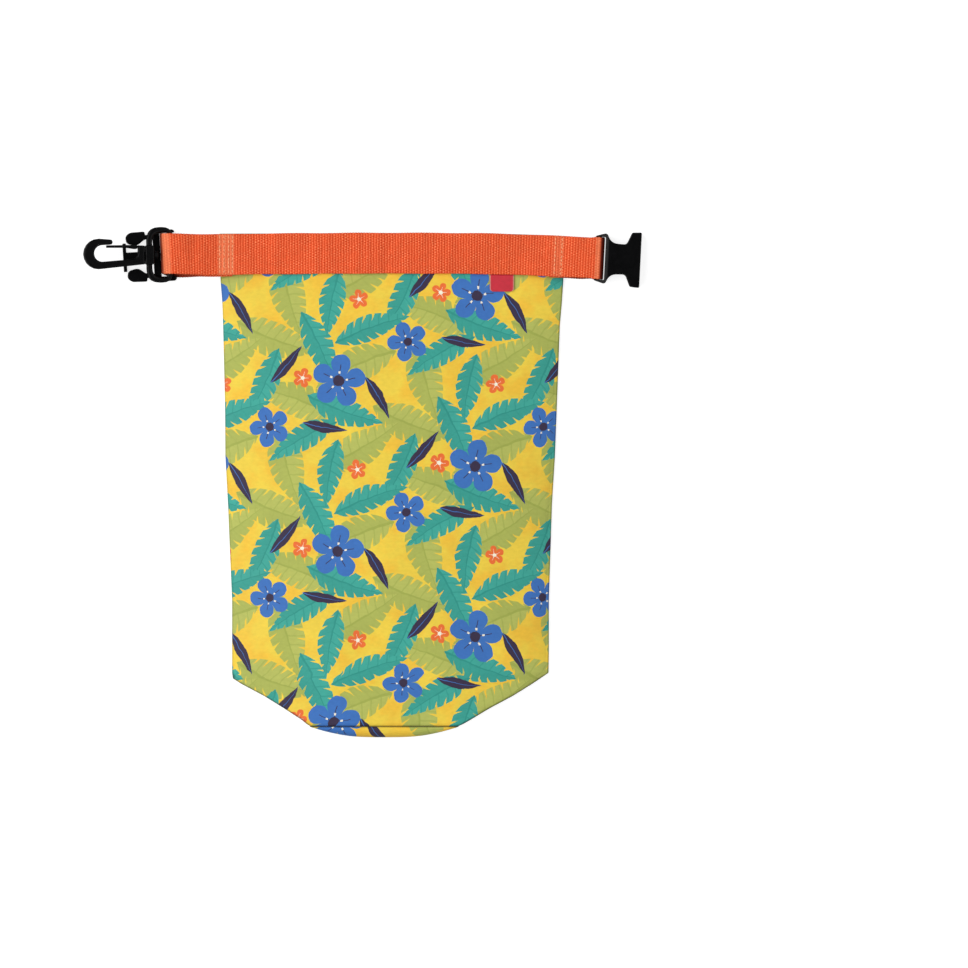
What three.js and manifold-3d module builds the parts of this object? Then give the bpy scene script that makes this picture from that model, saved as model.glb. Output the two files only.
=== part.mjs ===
// A small roll-top bag of coated cloth, lying on its back with the mouth unrolled.
// Millimetres. X runs along the closure strap, Y towards the mouth, Z up from the floor.
// Until the last line, X is 0 on the bag's middle and Y is 0 on the middle of the strap.
import * as THREE from "three";
import { mergeVertices } from "three/addons/utils/BufferGeometryUtils.js";
import Module from "manifold-3d";

const GAP = 0.3; // clearance between neighbouring pieces

// Cloth of the bag
const CLOTH = 1.2; // wall
const FOOT = 300.6; // mouth edge to base seam
const BASE_BULGE = 6.6; // how far the base panel rounds out past its seam
const PUFF = 0.8; // fullness of the front wall: below 1 is rounder than a parabola

// Cross sections of the bag, down from the mouth edge: how far the left and right sides reach,
// the height at the middle, the height of the folded sides, and the depth of the tuck in them.
const SECTIONS = [
  { down: 0.0, left: 105.2, right: 105.8, loft: 9.2, edge: 3.2, tuck: 0.0 },
  { down: 28.0, left: 104.3, right: 104.9, loft: 9.2, edge: 3.2, tuck: 0.0 },
  { down: 42.0, left: 103.2, right: 104.0, loft: 10.4, edge: 3.2, tuck: 0.0 },
  { down: 56.0, left: 102.7, right: 102.8, loft: 11.9, edge: 3.2, tuck: 0.0 },
  { down: 105.0, left: 101.5, right: 101.0, loft: 15.4, edge: 3.2, tuck: 0.0 },
  { down: 136.0, left: 101.3, right: 99.8, loft: 16.4, edge: 3.2, tuck: 0.0 },
  { down: 165.0, left: 99.7, right: 98.0, loft: 16.9, edge: 3.2, tuck: 0.0 },
  { down: 224.0, left: 97.2, right: 96.1, loft: 16.6, edge: 3.2, tuck: 0.0 },
  { down: 255.0, left: 97.2, right: 96.1, loft: 15.8, edge: 3.2, tuck: 0.0 },
  { down: 268.0, left: 97.2, right: 95.9, loft: 15.4, edge: 3.4, tuck: 0.0 },
  { down: 271.5, left: 96.7, right: 90.8, loft: 15.3, edge: 4.0, tuck: 0.2 },
  { down: 275.0, left: 91.5, right: 85.5, loft: 15.1, edge: 5.4, tuck: 1.2 },
  { down: 282.0, left: 78.5, right: 74.2, loft: 14.8, edge: 8.0, tuck: 3.4 },
  { down: 289.5, left: 66.2, right: 60.1, loft: 14.4, edge: 10.6, tuck: 5.4 },
  { down: 296.8, left: 54.8, right: 47.9, loft: 13.9, edge: 12.4, tuck: 6.6 },
  { down: FOOT, left: 49.9, right: 41.3, loft: 13.6, edge: 13.0, tuck: 7.0 },
];

// Soft folds of the front wall: middle, direction in degrees, half length, half width and height.
const FRONT_FOLDS = [
  { x: -74, down: 246, turn: 52, length: 34, width: 11, height: 1.3 },
  { x: 72, down: 244, turn: -50, length: 32, width: 11, height: 1.2 },
  { x: -34, down: 262, turn: 78, length: 30, width: 13, height: 0.9 },
  { x: 30, down: 260, turn: -74, length: 28, width: 13, height: 0.8 },
  { x: -70, down: 78, turn: -62, length: 36, width: 13, height: 0.8 },
  { x: 58, down: 84, turn: 66, length: 38, width: 14, height: -0.8 },
];

// Closure strap of webbing, seen from above
const WEB_WIDTH = 25;
const WEB = 1.4; // thickness
const LEFT_FOLD = -140.5;
const RIGHT_FOLD = 129.4;
const TAIL_END = 97; // where each folded tail ends, on the bag
const DROOP = { from: 44, to: 106, slope: 0.05 }; // the right end hangs down a little
const HEM_DROOP = 70; // how far down the mouth's droop fades out in the cloth
const ASKEW = { from: -130, to: -112, slope: 0.054 }; // the left fold lies a little askew

// Hardware
const LOOP_BAR = 3.6; // bar of the hook's loop, thick
const PLUG_BAR = 3.0;
const SOCKET_BAR = 3.4;
const BAR_PLAY = 0.5; // play of the two bars that share the left fold
const LOOP_TILT = THREE.MathUtils.degToRad(10); // the loop rests tilted up over the plug
const LOOP_REACH = 12.7; // between the loop's two bars
const PIN = 1.4; // radius of the swivel pin
const BORE = 1.75; // radius of its bore
const PLUG_RIGHT = 0.6; // the plug lies this far right of the left fold's middle
const PLUG_DOWN = 0.65; // and this far below the middle of the strap
const PLUG_TURN = 0.058; // turned with the fold
const LOOP_DOWN = 0.5; // the hook's loop lies this far below the middle of the strap
const LOOP_TURN = 0.012;

const BLACK_PLASTIC = { color: 0x0f0f0f, roughness: 0.5, metalness: 0 };
const PRINTED_CLOTH = { color: 0xf3c83c, roughness: 0.7, metalness: 0 };
const ORANGE_WEBBING = { color: 0xe7603b, roughness: 0.8, metalness: 0 };
const RED_LABEL = { color: 0xcb3c46, roughness: 0.7, metalness: 0 };

const manifold = await Module();
manifold.setup();

/** Turns a closed geometry into a solid that can be added to or cut. */
function solidOf(geometry) {
  const bare = geometry.clone();
  bare.deleteAttribute("normal");
  bare.deleteAttribute("uv");
  const welded = mergeVertices(bare, 1e-4);
  const corners = [];
  for (let i = 0; i < welded.index.count; i += 3) {
    const [a, b, c] = welded.index.array.slice(i, i + 3);
    if (a !== b && b !== c && c !== a) corners.push(a, b, c);
  }
  return new manifold.Manifold(
    new manifold.Mesh({
      numProp: 3,
      vertProperties: new Float32Array(welded.attributes.position.array),
      triVerts: new Uint32Array(corners),
    }),
  );
}

/** Turns a solid back into a geometry. */
function geometryOf(solid) {
  const mesh = solid.getMesh();
  const geometry = new THREE.BufferGeometry();
  geometry.setAttribute("position", new THREE.BufferAttribute(mesh.vertProperties, 3));
  geometry.setIndex(new THREE.BufferAttribute(mesh.triVerts, 1));
  geometry.computeVertexNormals();
  return geometry;
}

/** One closed mesh from points and triangles, turned so that its faces look outward. */
function closedGeometry(points, triangles) {
  const volume = triangles.reduce((sum, [a, b, c]) => {
    return sum + points[a].dot(new THREE.Vector3().crossVectors(points[b], points[c]));
  }, 0);
  const wound = volume < 0 ? triangles.map(([a, b, c]) => [a, c, b]) : triangles;
  const geometry = new THREE.BufferGeometry().setFromPoints(points);
  geometry.setIndex(wound.flat());
  geometry.computeVertexNormals();
  return geometry;
}

/** A sheet with thickness: two grids of points, rows by columns, closed all round the rim. */
function sheetGeometry(front, back) {
  const rows = front.length;
  const columns = front[0].length;
  const at = (side, row, column) => (side * rows + row) * columns + column;
  const triangles = [];
  const quad = (a, b, c, d) => triangles.push([a, b, c], [a, c, d]);
  for (let row = 0; row + 1 < rows; row++) {
    for (let column = 0; column + 1 < columns; column++) {
      quad(at(0, row, column), at(0, row, column + 1), at(0, row + 1, column + 1), at(0, row + 1, column));
      quad(at(1, row, column), at(1, row + 1, column), at(1, row + 1, column + 1), at(1, row, column + 1));
    }
    quad(at(0, row, 0), at(0, row + 1, 0), at(1, row + 1, 0), at(1, row, 0));
    const last = columns - 1;
    quad(at(0, row, last), at(1, row, last), at(1, row + 1, last), at(0, row + 1, last));
  }
  for (let column = 0; column + 1 < columns; column++) {
    quad(at(0, 0, column), at(1, 0, column), at(1, 0, column + 1), at(0, 0, column + 1));
    const last = rows - 1;
    quad(at(0, last, column), at(0, last, column + 1), at(1, last, column + 1), at(1, last, column));
  }
  return closedGeometry([...front.flat(), ...back.flat()], triangles);
}

/** A tube wall between two stacks of rings, open at both ends. */
function tubeGeometry(outer, inner) {
  const around = outer[0].length;
  const at = (side, ring, i) => (side * outer.length + ring) * around + (i % around);
  const triangles = [];
  const quad = (a, b, c, d) => triangles.push([a, b, c], [a, c, d]);
  for (let i = 0; i < around; i++) {
    for (let ring = 0; ring + 1 < outer.length; ring++) {
      quad(at(0, ring, i), at(0, ring, i + 1), at(0, ring + 1, i + 1), at(0, ring + 1, i));
      quad(at(1, ring, i), at(1, ring + 1, i), at(1, ring + 1, i + 1), at(1, ring, i + 1));
    }
    const end = outer.length - 1;
    quad(at(0, 0, i), at(1, 0, i), at(1, 0, i + 1), at(0, 0, i + 1));
    quad(at(0, end, i), at(0, end, i + 1), at(1, end, i + 1), at(1, end, i));
  }
  return closedGeometry([...outer.flat(), ...inner.flat()], triangles);
}

/** A flat plate of a drawn outline with rounded rims, its middle at z = 0. */
function plate(shape, thickness, round) {
  const depth = thickness - 2 * round;
  const geometry = new THREE.ExtrudeGeometry(shape, {
    depth,
    bevelEnabled: round > 0,
    bevelThickness: round,
    bevelSize: round,
    bevelOffset: -round,
    bevelSegments: 2,
    curveSegments: 5,
  });
  return geometry.translate(0, 0, -depth / 2);
}

/** An outline through corners of x, y and rounding, drawn anticlockwise. */
function rounded(corners, path = new THREE.Shape()) {
  const ordered = THREE.ShapeUtils.isClockWise(corners) ? corners.toReversed() : corners;
  const points = ordered.map(({ x, y }) => new THREE.Vector2(x, y));
  ordered.forEach(({ round }, i) => {
    const here = points[i];
    const before = points.at(i - 1).clone().sub(here).setLength(round).add(here);
    const after = points[(i + 1) % points.length].clone().sub(here).setLength(round).add(here);
    if (i === 0) path.moveTo(before.x, before.y);
    else path.lineTo(before.x, before.y);
    path.quadraticCurveTo(here.x, here.y, after.x, after.y);
  });
  path.closePath();
  return path;
}

/** The corners of an outline that is the same on both sides of y = 0, from its upper half. */
function mirrored(upper) {
  const lower = upper.toReversed().map(({ x, y, round }) => ({ x, y: -y, round }));
  return [...upper, ...lower];
}

/** A box solid between two corners. */
function block(low, high) {
  const size = new THREE.Vector3(...high).sub(new THREE.Vector3(...low));
  const box = new THREE.BoxGeometry(size.x, size.y, size.z);
  return solidOf(box.translate(low[0] + size.x / 2, low[1] + size.y / 2, low[2] + size.z / 2));
}

/** A round bar along Y through the origin. */
function crossBar(diameter, length) {
  return solidOf(new THREE.CylinderGeometry(diameter / 2, diameter / 2, length, 16));
}

/** A round pin along X between two places. */
function axialPin(radius, from, to) {
  const pin = new THREE.CylinderGeometry(radius, radius, to - from, 20);
  return solidOf(pin.rotateZ(Math.PI / 2).translate((from + to) / 2, 0, 0));
}

/** A named mesh with its own material. */
function piece(name, geometry, finish) {
  const mesh = new THREE.Mesh(geometry, new THREE.MeshStandardMaterial(finish));
  mesh.name = name;
  return mesh;
}

// The bag's cross section at any place: the sides run straight between rows, the heights are smooth.

const DOWNS = SECTIONS.map((row) => row.down);
const sides = new THREE.LinearInterpolant(DOWNS, SECTIONS.flatMap((row) => [row.left, row.right]), 2);
const heights = new THREE.CubicInterpolant(
  DOWNS,
  SECTIONS.flatMap((row) => [row.loft, row.edge, row.tuck]),
  3,
);

/** The cross section this far down from the mouth edge. */
function sectionAt(down) {
  const [left, right] = sides.evaluate(down);
  const [loft, edge, tuck] = heights.evaluate(down);
  return { down, left, right, loft, edge, tuck: Math.max(0, tuck) };
}

/** How far in the side fold lies at a share of its height, 0 at its outermost point. */
function sideProfile({ edge, tuck }, steps) {
  const depths = Array.from({ length: steps + 1 }, (_, i) => {
    const rise = Math.sin((Math.PI * i) / steps);
    return (edge / 2) * (1 - rise) + tuck * rise ** 6;
  });
  const least = Math.min(...depths);
  return depths.map((depth) => depth - least);
}

/** The sum of the soft folds in the front wall, which fade out at the sides, the strap and the foot. */
function foldHeight(x, down, across) {
  const fade = Math.max(0, 1 - across ** 4) * THREE.MathUtils.smoothstep(down, 30, 60)
    * (1 - THREE.MathUtils.smoothstep(down, 275, 298));
  return FRONT_FOLDS.reduce((sum, fold) => {
    const turn = THREE.MathUtils.degToRad(fold.turn);
    const dx = x - fold.x;
    const dy = fold.down - down;
    const along = (dx * Math.cos(turn) + dy * Math.sin(turn)) / fold.length;
    const aside = (dy * Math.cos(turn) - dx * Math.sin(turn)) / fold.width;
    return sum + fade * fold.height * Math.exp(-(along ** 2) - aside ** 2);
  }, 0);
}

/** Height of the front wall's outer face. */
function frontHeight(x, section) {
  const inset = sideProfile(section, SIDE_STEPS)[0];
  const middle = (section.right - section.left) / 2;
  const reach = (section.right + section.left) / 2 - inset;
  const across = THREE.MathUtils.clamp((x - middle) / reach, -1, 1);
  const puff = (section.loft - section.edge) * (1 - across ** 2) ** PUFF;
  return section.edge + puff + foldHeight(x, section.down, across);
}

const FLOOR_STEPS = 6;
const SIDE_STEPS = 8;
const FRONT_STEPS = 22;

/** The outer ring at a section: floor wall, right fold, front wall, left fold, as x and z. */
function outerRing(section) {
  const { left, right, edge } = section;
  const inset = sideProfile(section, SIDE_STEPS);
  const low = inset[0] - left;
  const high = right - inset[0];
  const ring = [];
  for (let i = 0; i < FLOOR_STEPS; i++) {
    ring.push(new THREE.Vector2(THREE.MathUtils.lerp(low, high, i / FLOOR_STEPS), 0));
  }
  const sideHeight = (i) => (edge * (1 - Math.cos((Math.PI * i) / SIDE_STEPS))) / 2;
  for (let i = 0; i < SIDE_STEPS; i++) {
    ring.push(new THREE.Vector2(right - inset[i], sideHeight(i)));
  }
  for (let i = 0; i < FRONT_STEPS; i++) {
    const share = i / FRONT_STEPS;
    const spread = (share + (1 - Math.cos(Math.PI * share)) / 2) / 2;
    const x = THREE.MathUtils.lerp(high, low, spread);
    ring.push(new THREE.Vector2(x, frontHeight(x, section)));
  }
  for (let i = SIDE_STEPS; i > 0; i--) {
    ring.push(new THREE.Vector2(inset[i] - left, sideHeight(i)));
  }
  return ring;
}

/** A ring moved inward by the cloth's thickness. */
function innerRing(ring) {
  return ring.map((here, i) => {
    const before = here.clone().sub(ring.at(i - 1)).normalize();
    const after = ring[(i + 1) % ring.length].clone().sub(here).normalize();
    const sideways = before.clone().add(after).normalize();
    const inward = new THREE.Vector2(-sideways.y, sideways.x);
    const lean = Math.max(0.5, sideways.dot(before));
    return inward.multiplyScalar(CLOTH / lean).add(here);
  });
}

const MOUTH_Y = WEB_WIDTH / 2; // the mouth edge is level with the strap's upper edge

/** A ring stood up this far down from the mouth, whose edge droops with the strap. */
function stand(ring, down) {
  const share = 1 - THREE.MathUtils.smoothstep(down, 0, HEM_DROOP);
  return ring.map(({ x, y }) => new THREE.Vector3(x, MOUTH_Y - down - share * droopAt(x).drop, y));
}

/** The tube of cloth from the mouth to the base seam. */
function bagBody() {
  const plain = Array.from({ length: 16 }, (_, i) => 28 + (255 - 28) * (i / 15));
  const downs = [0, 14, ...plain, 263, ...DOWNS.filter((down) => down >= 268)];
  const rings = downs.map((down) => outerRing(sectionAt(down)));
  const outer = rings.map((ring, i) => stand(ring, downs[i]));
  const inner = rings.map((ring, i) => stand(innerRing(ring), downs[i]));
  return tubeGeometry(outer, inner);
}

/** The base panel: a dome of cloth over the tube's lower end. */
function bagBase() {
  const section = sectionAt(FOOT);
  const rows = 10;
  const columns = 16;
  const inset = sideProfile(section, rows);
  const seam = MOUTH_Y - FOOT - GAP;
  const grid = (wall) =>
    Array.from({ length: rows + 1 }, (_, row) => {
      const rise = (1 - Math.cos((Math.PI * row) / rows)) / 2;
      const low = inset[row] - section.left + wall;
      const high = section.right - inset[row] - wall;
      return Array.from({ length: columns + 1 }, (_, column) => {
        const across = -Math.cos((Math.PI * column) / columns);
        const x = THREE.MathUtils.lerp(low, high, (across + 1) / 2);
        const bulge = (1 - across ** 2) * Math.sin((Math.PI * row) / rows) ** 0.8;
        const height = frontHeight(x, section) - 2 * wall;
        return new THREE.Vector3(x, seam - (BASE_BULGE - wall) * bulge, wall + height * rise);
      });
    });
  return sheetGeometry(grid(0), grid(CLOTH));
}

// The strap: a path in x and z, carried across its width and bent along its droop.

const HEM = sectionAt(0);

/** Height of the webbing's middle where it lies on the hem, as the first or second layer. */
function overHem(x, layer) {
  return frontHeight(x, HEM) + layer * (GAP + WEB) - WEB / 2;
}

const LEFT_BEND = (3 * BAR_PLAY + PLUG_BAR + LOOP_BAR + WEB) / 2; // radius of the webbing's middle
const OFF_FLOOR = 0.05; // the left loop just clears the floor that the bag lies on
const LEFT_EYE = new THREE.Vector2(LEFT_FOLD + LEFT_BEND + WEB / 2, LEFT_BEND + WEB / 2 + OFF_FLOOR);
const RIGHT_BEND = SOCKET_BAR / 2 + 0.4 + WEB / 2;
const RIGHT_EYE = new THREE.Vector2(RIGHT_FOLD - RIGHT_BEND - WEB / 2, 4.8);

/** Points round half a loop, from its lower to its upper layer; side is -1 on the left. */
function halfTurn(eye, radius, side) {
  return Array.from({ length: 9 }, (_, i) => {
    const angle = Math.PI * (i / 8 - 0.5);
    return new THREE.Vector3(eye.x + side * radius * Math.cos(angle), 0, eye.y + radius * Math.sin(angle));
  });
}

/** The middle of the webbing from the left tail, over the front, to the right tail. */
function strapPath() {
  const point = (x, z) => new THREE.Vector3(x, 0, z);
  const onHem = [-66, -52, -36, -18, 0, 18, 36, 52, 66].map((x) => point(x, overHem(x, 1)));
  const leftTail = [
    point(-TAIL_END, overHem(-TAIL_END, 1) + 0.1),
    point(-104.5, overHem(-104, 1) + 0.2),
    point(-121, WEB / 2 + 0.8),
    point(-128, WEB / 2 + 0.3),
  ];
  const leftFront = [
    point(-128, LEFT_EYE.y + LEFT_BEND),
    point(-116, 8.9),
    point(-104, 7.4),
    point(-84, 7.4),
  ];
  const rightFront = [point(84, 7.4), point(104, 7.3), point(116, RIGHT_EYE.y + RIGHT_BEND)];
  const rightTail = [
    point(117, RIGHT_EYE.y - RIGHT_BEND),
    point(105, overHem(105, 1) + 0.2),
    point(TAIL_END, overHem(TAIL_END, 1) + 0.1),
  ];
  const left = halfTurn(LEFT_EYE, LEFT_BEND, -1);
  const right = halfTurn(RIGHT_EYE, RIGHT_BEND, 1).reverse();
  const stops = [leftTail, left, leftFront, onHem, rightFront, right, rightTail].flat();
  return new THREE.CatmullRomCurve3(stops, false, "centripetal");
}

/** How far the strap's middle has drooped at x, and its slope there. */
function droopAt(x) {
  const run = THREE.MathUtils.clamp(x, DROOP.from, DROOP.to) - DROOP.from;
  const slope = (DROOP.slope * run) / (DROOP.to - DROOP.from);
  return { drop: (slope * run) / 2 + DROOP.slope * Math.max(0, x - DROOP.to), slope };
}

/** Moves a point of the straight strap to where the drooping strap, with its askew fold, has it. */
function bend(point) {
  const { drop, slope } = droopAt(point.x);
  const turn = Math.atan(slope);
  const askew = ASKEW.slope * (1 - THREE.MathUtils.smoothstep(point.x, ASKEW.from, ASKEW.to));
  const x = point.x + point.y * (Math.sin(turn) - askew);
  return new THREE.Vector3(x, point.y * Math.cos(turn) - drop, point.z);
}

/** The closure strap with its two end loops. */
function closureStrap() {
  const path = strapPath();
  const count = 120;
  const layer = (side) =>
    Array.from({ length: count + 1 }, (_, i) => {
      const middle = path.getPoint(i / count);
      const along = path.getTangent(i / count);
      const lift = new THREE.Vector3(-along.z, 0, along.x).multiplyScalar((side * WEB) / 2);
      return [-0.5, 0.5].map((edge) => bend(middle.clone().add(lift).setY(edge * WEB_WIDTH)));
    });
  return sheetGeometry(layer(1), layer(-1));
}

/** The red tab that shows below the strap. */
function labelTab() {
  const tab = { x: 67.4, width: 14.8, top: -13.1, bottom: -23.0, thick: 0.8, corner: 2.3 };
  const rows = 8;
  const columns = 6;
  const grid = (lift) =>
    Array.from({ length: rows + 1 }, (_, row) => {
      const y = THREE.MathUtils.lerp(tab.top, tab.bottom, Math.sin((Math.PI / 2) * (row / rows)));
      const past = THREE.MathUtils.clamp(tab.bottom + tab.corner - y, 0, tab.corner);
      const inset = tab.corner - Math.sqrt(tab.corner ** 2 - past ** 2);
      return Array.from({ length: columns + 1 }, (_, column) => {
        const x = tab.x + (tab.width - 2 * inset) * (column / columns - 0.5);
        return new THREE.Vector3(x, y, frontHeight(x, sectionAt(MOUTH_Y - y)) + GAP + lift);
      });
    });
  return sheetGeometry(grid(tab.thick), grid(0));
}

/** The socket half of the buckle; its bar is at the origin and its mouth looks along +X. */
function femaleBuckle() {
  const thick = 9.6;
  const upper = [
    { x: -2.4, y: 13.4, round: 1.6 },
    { x: 5.0, y: 15.6, round: 1.6 },
    { x: 7.8, y: 9.5, round: 4.0 },
    { x: 17.1, y: 9.1, round: 1.8 },
    { x: 20.2, y: 16.5, round: 0.8 },
    { x: 26.1, y: 16.9, round: 0.8 },
  ];
  const body = solidOf(plate(rounded(mirrored(upper)), thick, 0.5));
  const flank = [
    { x: -3.0, y: 2.7, round: 0.5 },
    { x: -0.5, y: 2.7, round: 1.0 },
    { x: 7.0, y: thick / 2 + 0.2, round: 1.5 },
    { x: 29.0, y: thick / 2 + 0.2, round: 0.5 },
  ];
  const sideView = solidOf(plate(rounded(mirrored(flank)), 40, 0).rotateX(Math.PI / 2));
  const strapSlot = block([-3, -13.1, -6], [4.4, 13.1, 6]);
  const socket = block([6.8, -13.2, -2.9], [30, 13.2, 2.9]);
  const bar = crossBar(SOCKET_BAR, 26.8);
  return geometryOf(body.intersect(sideView).subtract(strapSlot).subtract(socket).add(bar));
}

/** The plug half of the buckle; its bar is at the origin and its arms reach along -X. */
function maleBuckle() {
  const frameOutline = mirrored([
    { x: -10.8, y: 12.4, round: 1.5 },
    { x: -5.0, y: 15.7, round: 2.0 },
    { x: 2.8, y: 15.7, round: 2.0 },
  ]);
  const armOutline = [
    { x: -8.4, y: 11.6, round: 0.9 },
    { x: -16.0, y: 10.2, round: 1.0 },
    { x: -20.5, y: 6.75, round: 2.2 },
    { x: -26.7, y: 8.3, round: 2.0 },
    { x: -27.4, y: 12.8, round: 1.8 },
    { x: -24.5, y: 15.1, round: 1.5 },
    { x: -15.4, y: 15.3, round: 0.9 },
    { x: -15.2, y: 13.1, round: 0.5 },
    { x: -8.4, y: 13.6, round: 0.9 },
  ];
  const frame = solidOf(plate(rounded(frameOutline), 5.0, 1.0).translate(0, 0, -0.9));
  const strapSlot = block([-6.4, -12.75, -5], [4, 13.75, 3]);
  const bar = crossBar(PLUG_BAR, 28.2);
  const arm = solidOf(plate(rounded(armOutline), 4.6, 0.5).translate(0, 0, -0.9));
  const guide = block([-28.0, -2.3, -3.2], [-8.4, 3.1, -0.5]);
  const guideHead = block([-29.3, -8.7, -3.2], [-27.2, 8.7, -0.5]);
  const otherArm = arm.mirror([0, 1, 0]);
  return geometryOf(frame.subtract(strapSlot).add(bar).add(arm).add(otherArm).add(guide).add(guideHead));
}

/** The hook's loop with the swivel's boss; its strap bar is at the origin. */
function hookLoop() {
  const half = LOOP_BAR / 2;
  const outline = rounded(
    mirrored([
      { x: -LOOP_REACH - half, y: 17, round: 8.2 },
      { x: half, y: 17, round: 6.6 },
    ]),
  );
  const opening = mirrored([
    { x: -LOOP_REACH + half, y: 13.6, round: 5.6 },
    { x: -half, y: 13.6, round: 1.2 },
  ]);
  outline.holes.push(rounded(opening, new THREE.Path()));
  const boss = mirrored([
    { x: -LOOP_REACH - 2.6, y: 5.8, round: 1.1 },
    { x: -LOOP_REACH + 2.8, y: 5.8, round: 1.1 },
  ]);
  const bore = axialPin(BORE, -LOOP_REACH - 8, -LOOP_REACH + 8);
  const ring = solidOf(plate(outline, LOOP_BAR, 1.2)).add(solidOf(plate(rounded(boss), 6.2, 0.6)));
  return geometryOf(ring.subtract(bore));
}

const GATE_ROOT = { x: -8.6, y: 4.9, radius: 1.25 };

/** The hook with its swivel pin; the origin is on the loop's outer bar and the hook reaches along -X. */
function snapHook() {
  const hook = new THREE.Shape();
  hook.moveTo(-3.0, -5.7);
  hook.lineTo(-3.0, 5.7);
  hook.lineTo(-7.0, 5.9);
  hook.lineTo(-7.0, 1.4);
  hook.quadraticCurveTo(-7.2, -2.4, -11.5, -2.6);
  hook.lineTo(-29.1, -3.9);
  hook.absarc(-29.1, 1.15, 5.05, -Math.PI / 2, Math.PI / 2, true);
  hook.lineTo(-24.3, 6.42);
  hook.quadraticCurveTo(-22.7, 6.42, -22.7, 7.95);
  hook.quadraticCurveTo(-22.7, 9.55, -24.3, 9.6);
  hook.lineTo(-31.2, 10.2);
  hook.absarc(-31.2, 0.85, 9.35, Math.PI / 2, Math.PI * 1.5, false);
  hook.closePath();
  const body = solidOf(plate(hook, 5.2, 0.8));
  const pin = axialPin(PIN, -5, 4);
  const head = axialPin(2.7, 3.2, 5.2);
  return geometryOf(body.add(pin).add(head));
}

/** The gate, drawn in the hook's own frame and moved so that its root is at the origin. */
function hookGate() {
  const { radius } = GATE_ROOT;
  const gate = rounded([
    { x: radius, y: radius, round: 1.2 },
    { x: radius, y: -radius, round: 1.2 },
    { x: -0.8, y: -radius, round: 0.7 },
    { x: -5.6, y: -0.45, round: 1.5 },
    { x: -17.8, y: -0.35, round: 0.5 },
    { x: -17.8, y: 1.18, round: 0.4 },
  ]);
  return plate(gate, 4.0, 0.25);
}

const bag = new THREE.Group();
bag.add(piece("bag_body", bagBody(), PRINTED_CLOTH));
bag.add(piece("bag_base", bagBase(), PRINTED_CLOTH));
bag.add(piece("closure_strap", closureStrap(), ORANGE_WEBBING));
bag.add(piece("label_tab", labelTab(), RED_LABEL));

const socketPlace = droopAt(RIGHT_EYE.x);
const femaleHalf = piece("female_buckle", femaleBuckle(), BLACK_PLASTIC);
femaleHalf.position.set(RIGHT_EYE.x, -socketPlace.drop, RIGHT_EYE.y);
femaleHalf.rotation.z = -Math.atan(socketPlace.slope);
bag.add(femaleHalf);

const maleHalf = piece("male_buckle", maleBuckle(), BLACK_PLASTIC);
maleHalf.position.set(LEFT_EYE.x + PLUG_RIGHT, -PLUG_DOWN, WEB + BAR_PLAY + PLUG_BAR / 2);
maleHalf.rotation.z = PLUG_TURN;
bag.add(maleHalf);

const swivel = new THREE.Group(); // the loop and all that hangs on it
swivel.position.set(LEFT_EYE.x, -LOOP_DOWN, WEB + 2 * BAR_PLAY + PLUG_BAR + LOOP_BAR / 2);
swivel.rotation.set(0, LOOP_TILT, LOOP_TURN);
swivel.add(piece("hook_loop", hookLoop(), BLACK_PLASTIC));
const hookGroup = new THREE.Group();
hookGroup.position.x = -LOOP_REACH;
hookGroup.add(piece("snap_hook", snapHook(), BLACK_PLASTIC));
const gatePiece = piece("hook_gate", hookGate(), BLACK_PLASTIC);
gatePiece.position.set(GATE_ROOT.x, GATE_ROOT.y, 0);
hookGroup.add(gatePiece);
swivel.add(hookGroup);
bag.add(swivel);

// The origin is under the middle of the whole, on the floor.
bag.updateMatrixWorld(true);
const whole = new THREE.Box3().setFromObject(bag, true);
const centre = whole.getCenter(new THREE.Vector3());
bag.position.set(-centre.x, -centre.y, -whole.min.z);

export default bag;
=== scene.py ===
"""Looks of a small roll-top waterproof bag that lies on its back with its mouth unrolled.

Every shape is worked out in millimetres on the bag's own drawing axes: X along the strap from the
bag's middle line, Y towards the mouth from the strap's middle line, Z up from the floor. A shape is
set into the shared frame, in metres, when its mesh is made.
"""

from __future__ import annotations

import logging
import math
from dataclasses import dataclass
from enum import Enum
from typing import Callable, NamedTuple, Optional, Sequence, Union

import bmesh
import bpy
import numpy as np
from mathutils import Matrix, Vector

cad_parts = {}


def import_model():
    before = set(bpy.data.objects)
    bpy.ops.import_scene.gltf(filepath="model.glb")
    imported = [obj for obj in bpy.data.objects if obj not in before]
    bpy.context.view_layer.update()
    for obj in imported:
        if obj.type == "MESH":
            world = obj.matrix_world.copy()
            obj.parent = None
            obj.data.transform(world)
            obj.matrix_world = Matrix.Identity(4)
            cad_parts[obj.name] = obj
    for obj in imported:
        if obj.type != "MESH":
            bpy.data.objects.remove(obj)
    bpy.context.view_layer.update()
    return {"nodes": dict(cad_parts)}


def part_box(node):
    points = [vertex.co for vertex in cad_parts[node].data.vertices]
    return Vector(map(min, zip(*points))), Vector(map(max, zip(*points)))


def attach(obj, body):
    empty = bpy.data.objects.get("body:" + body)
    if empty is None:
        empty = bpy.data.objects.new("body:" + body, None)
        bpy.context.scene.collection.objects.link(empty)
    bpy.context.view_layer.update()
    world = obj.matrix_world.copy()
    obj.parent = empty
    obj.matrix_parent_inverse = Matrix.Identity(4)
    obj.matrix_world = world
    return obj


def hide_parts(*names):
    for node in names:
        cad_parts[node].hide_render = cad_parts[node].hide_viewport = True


LOG = logging.getLogger("bag")
MM = 0.001

Array = np.ndarray
Colour = tuple[float, float, float, float]
Material = bpy.types.Material
Piece = bpy.types.Object
Socket = bpy.types.NodeSocket
Sockets = bpy.types.NodeOutputs
Tree = bpy.types.NodeTree


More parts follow.
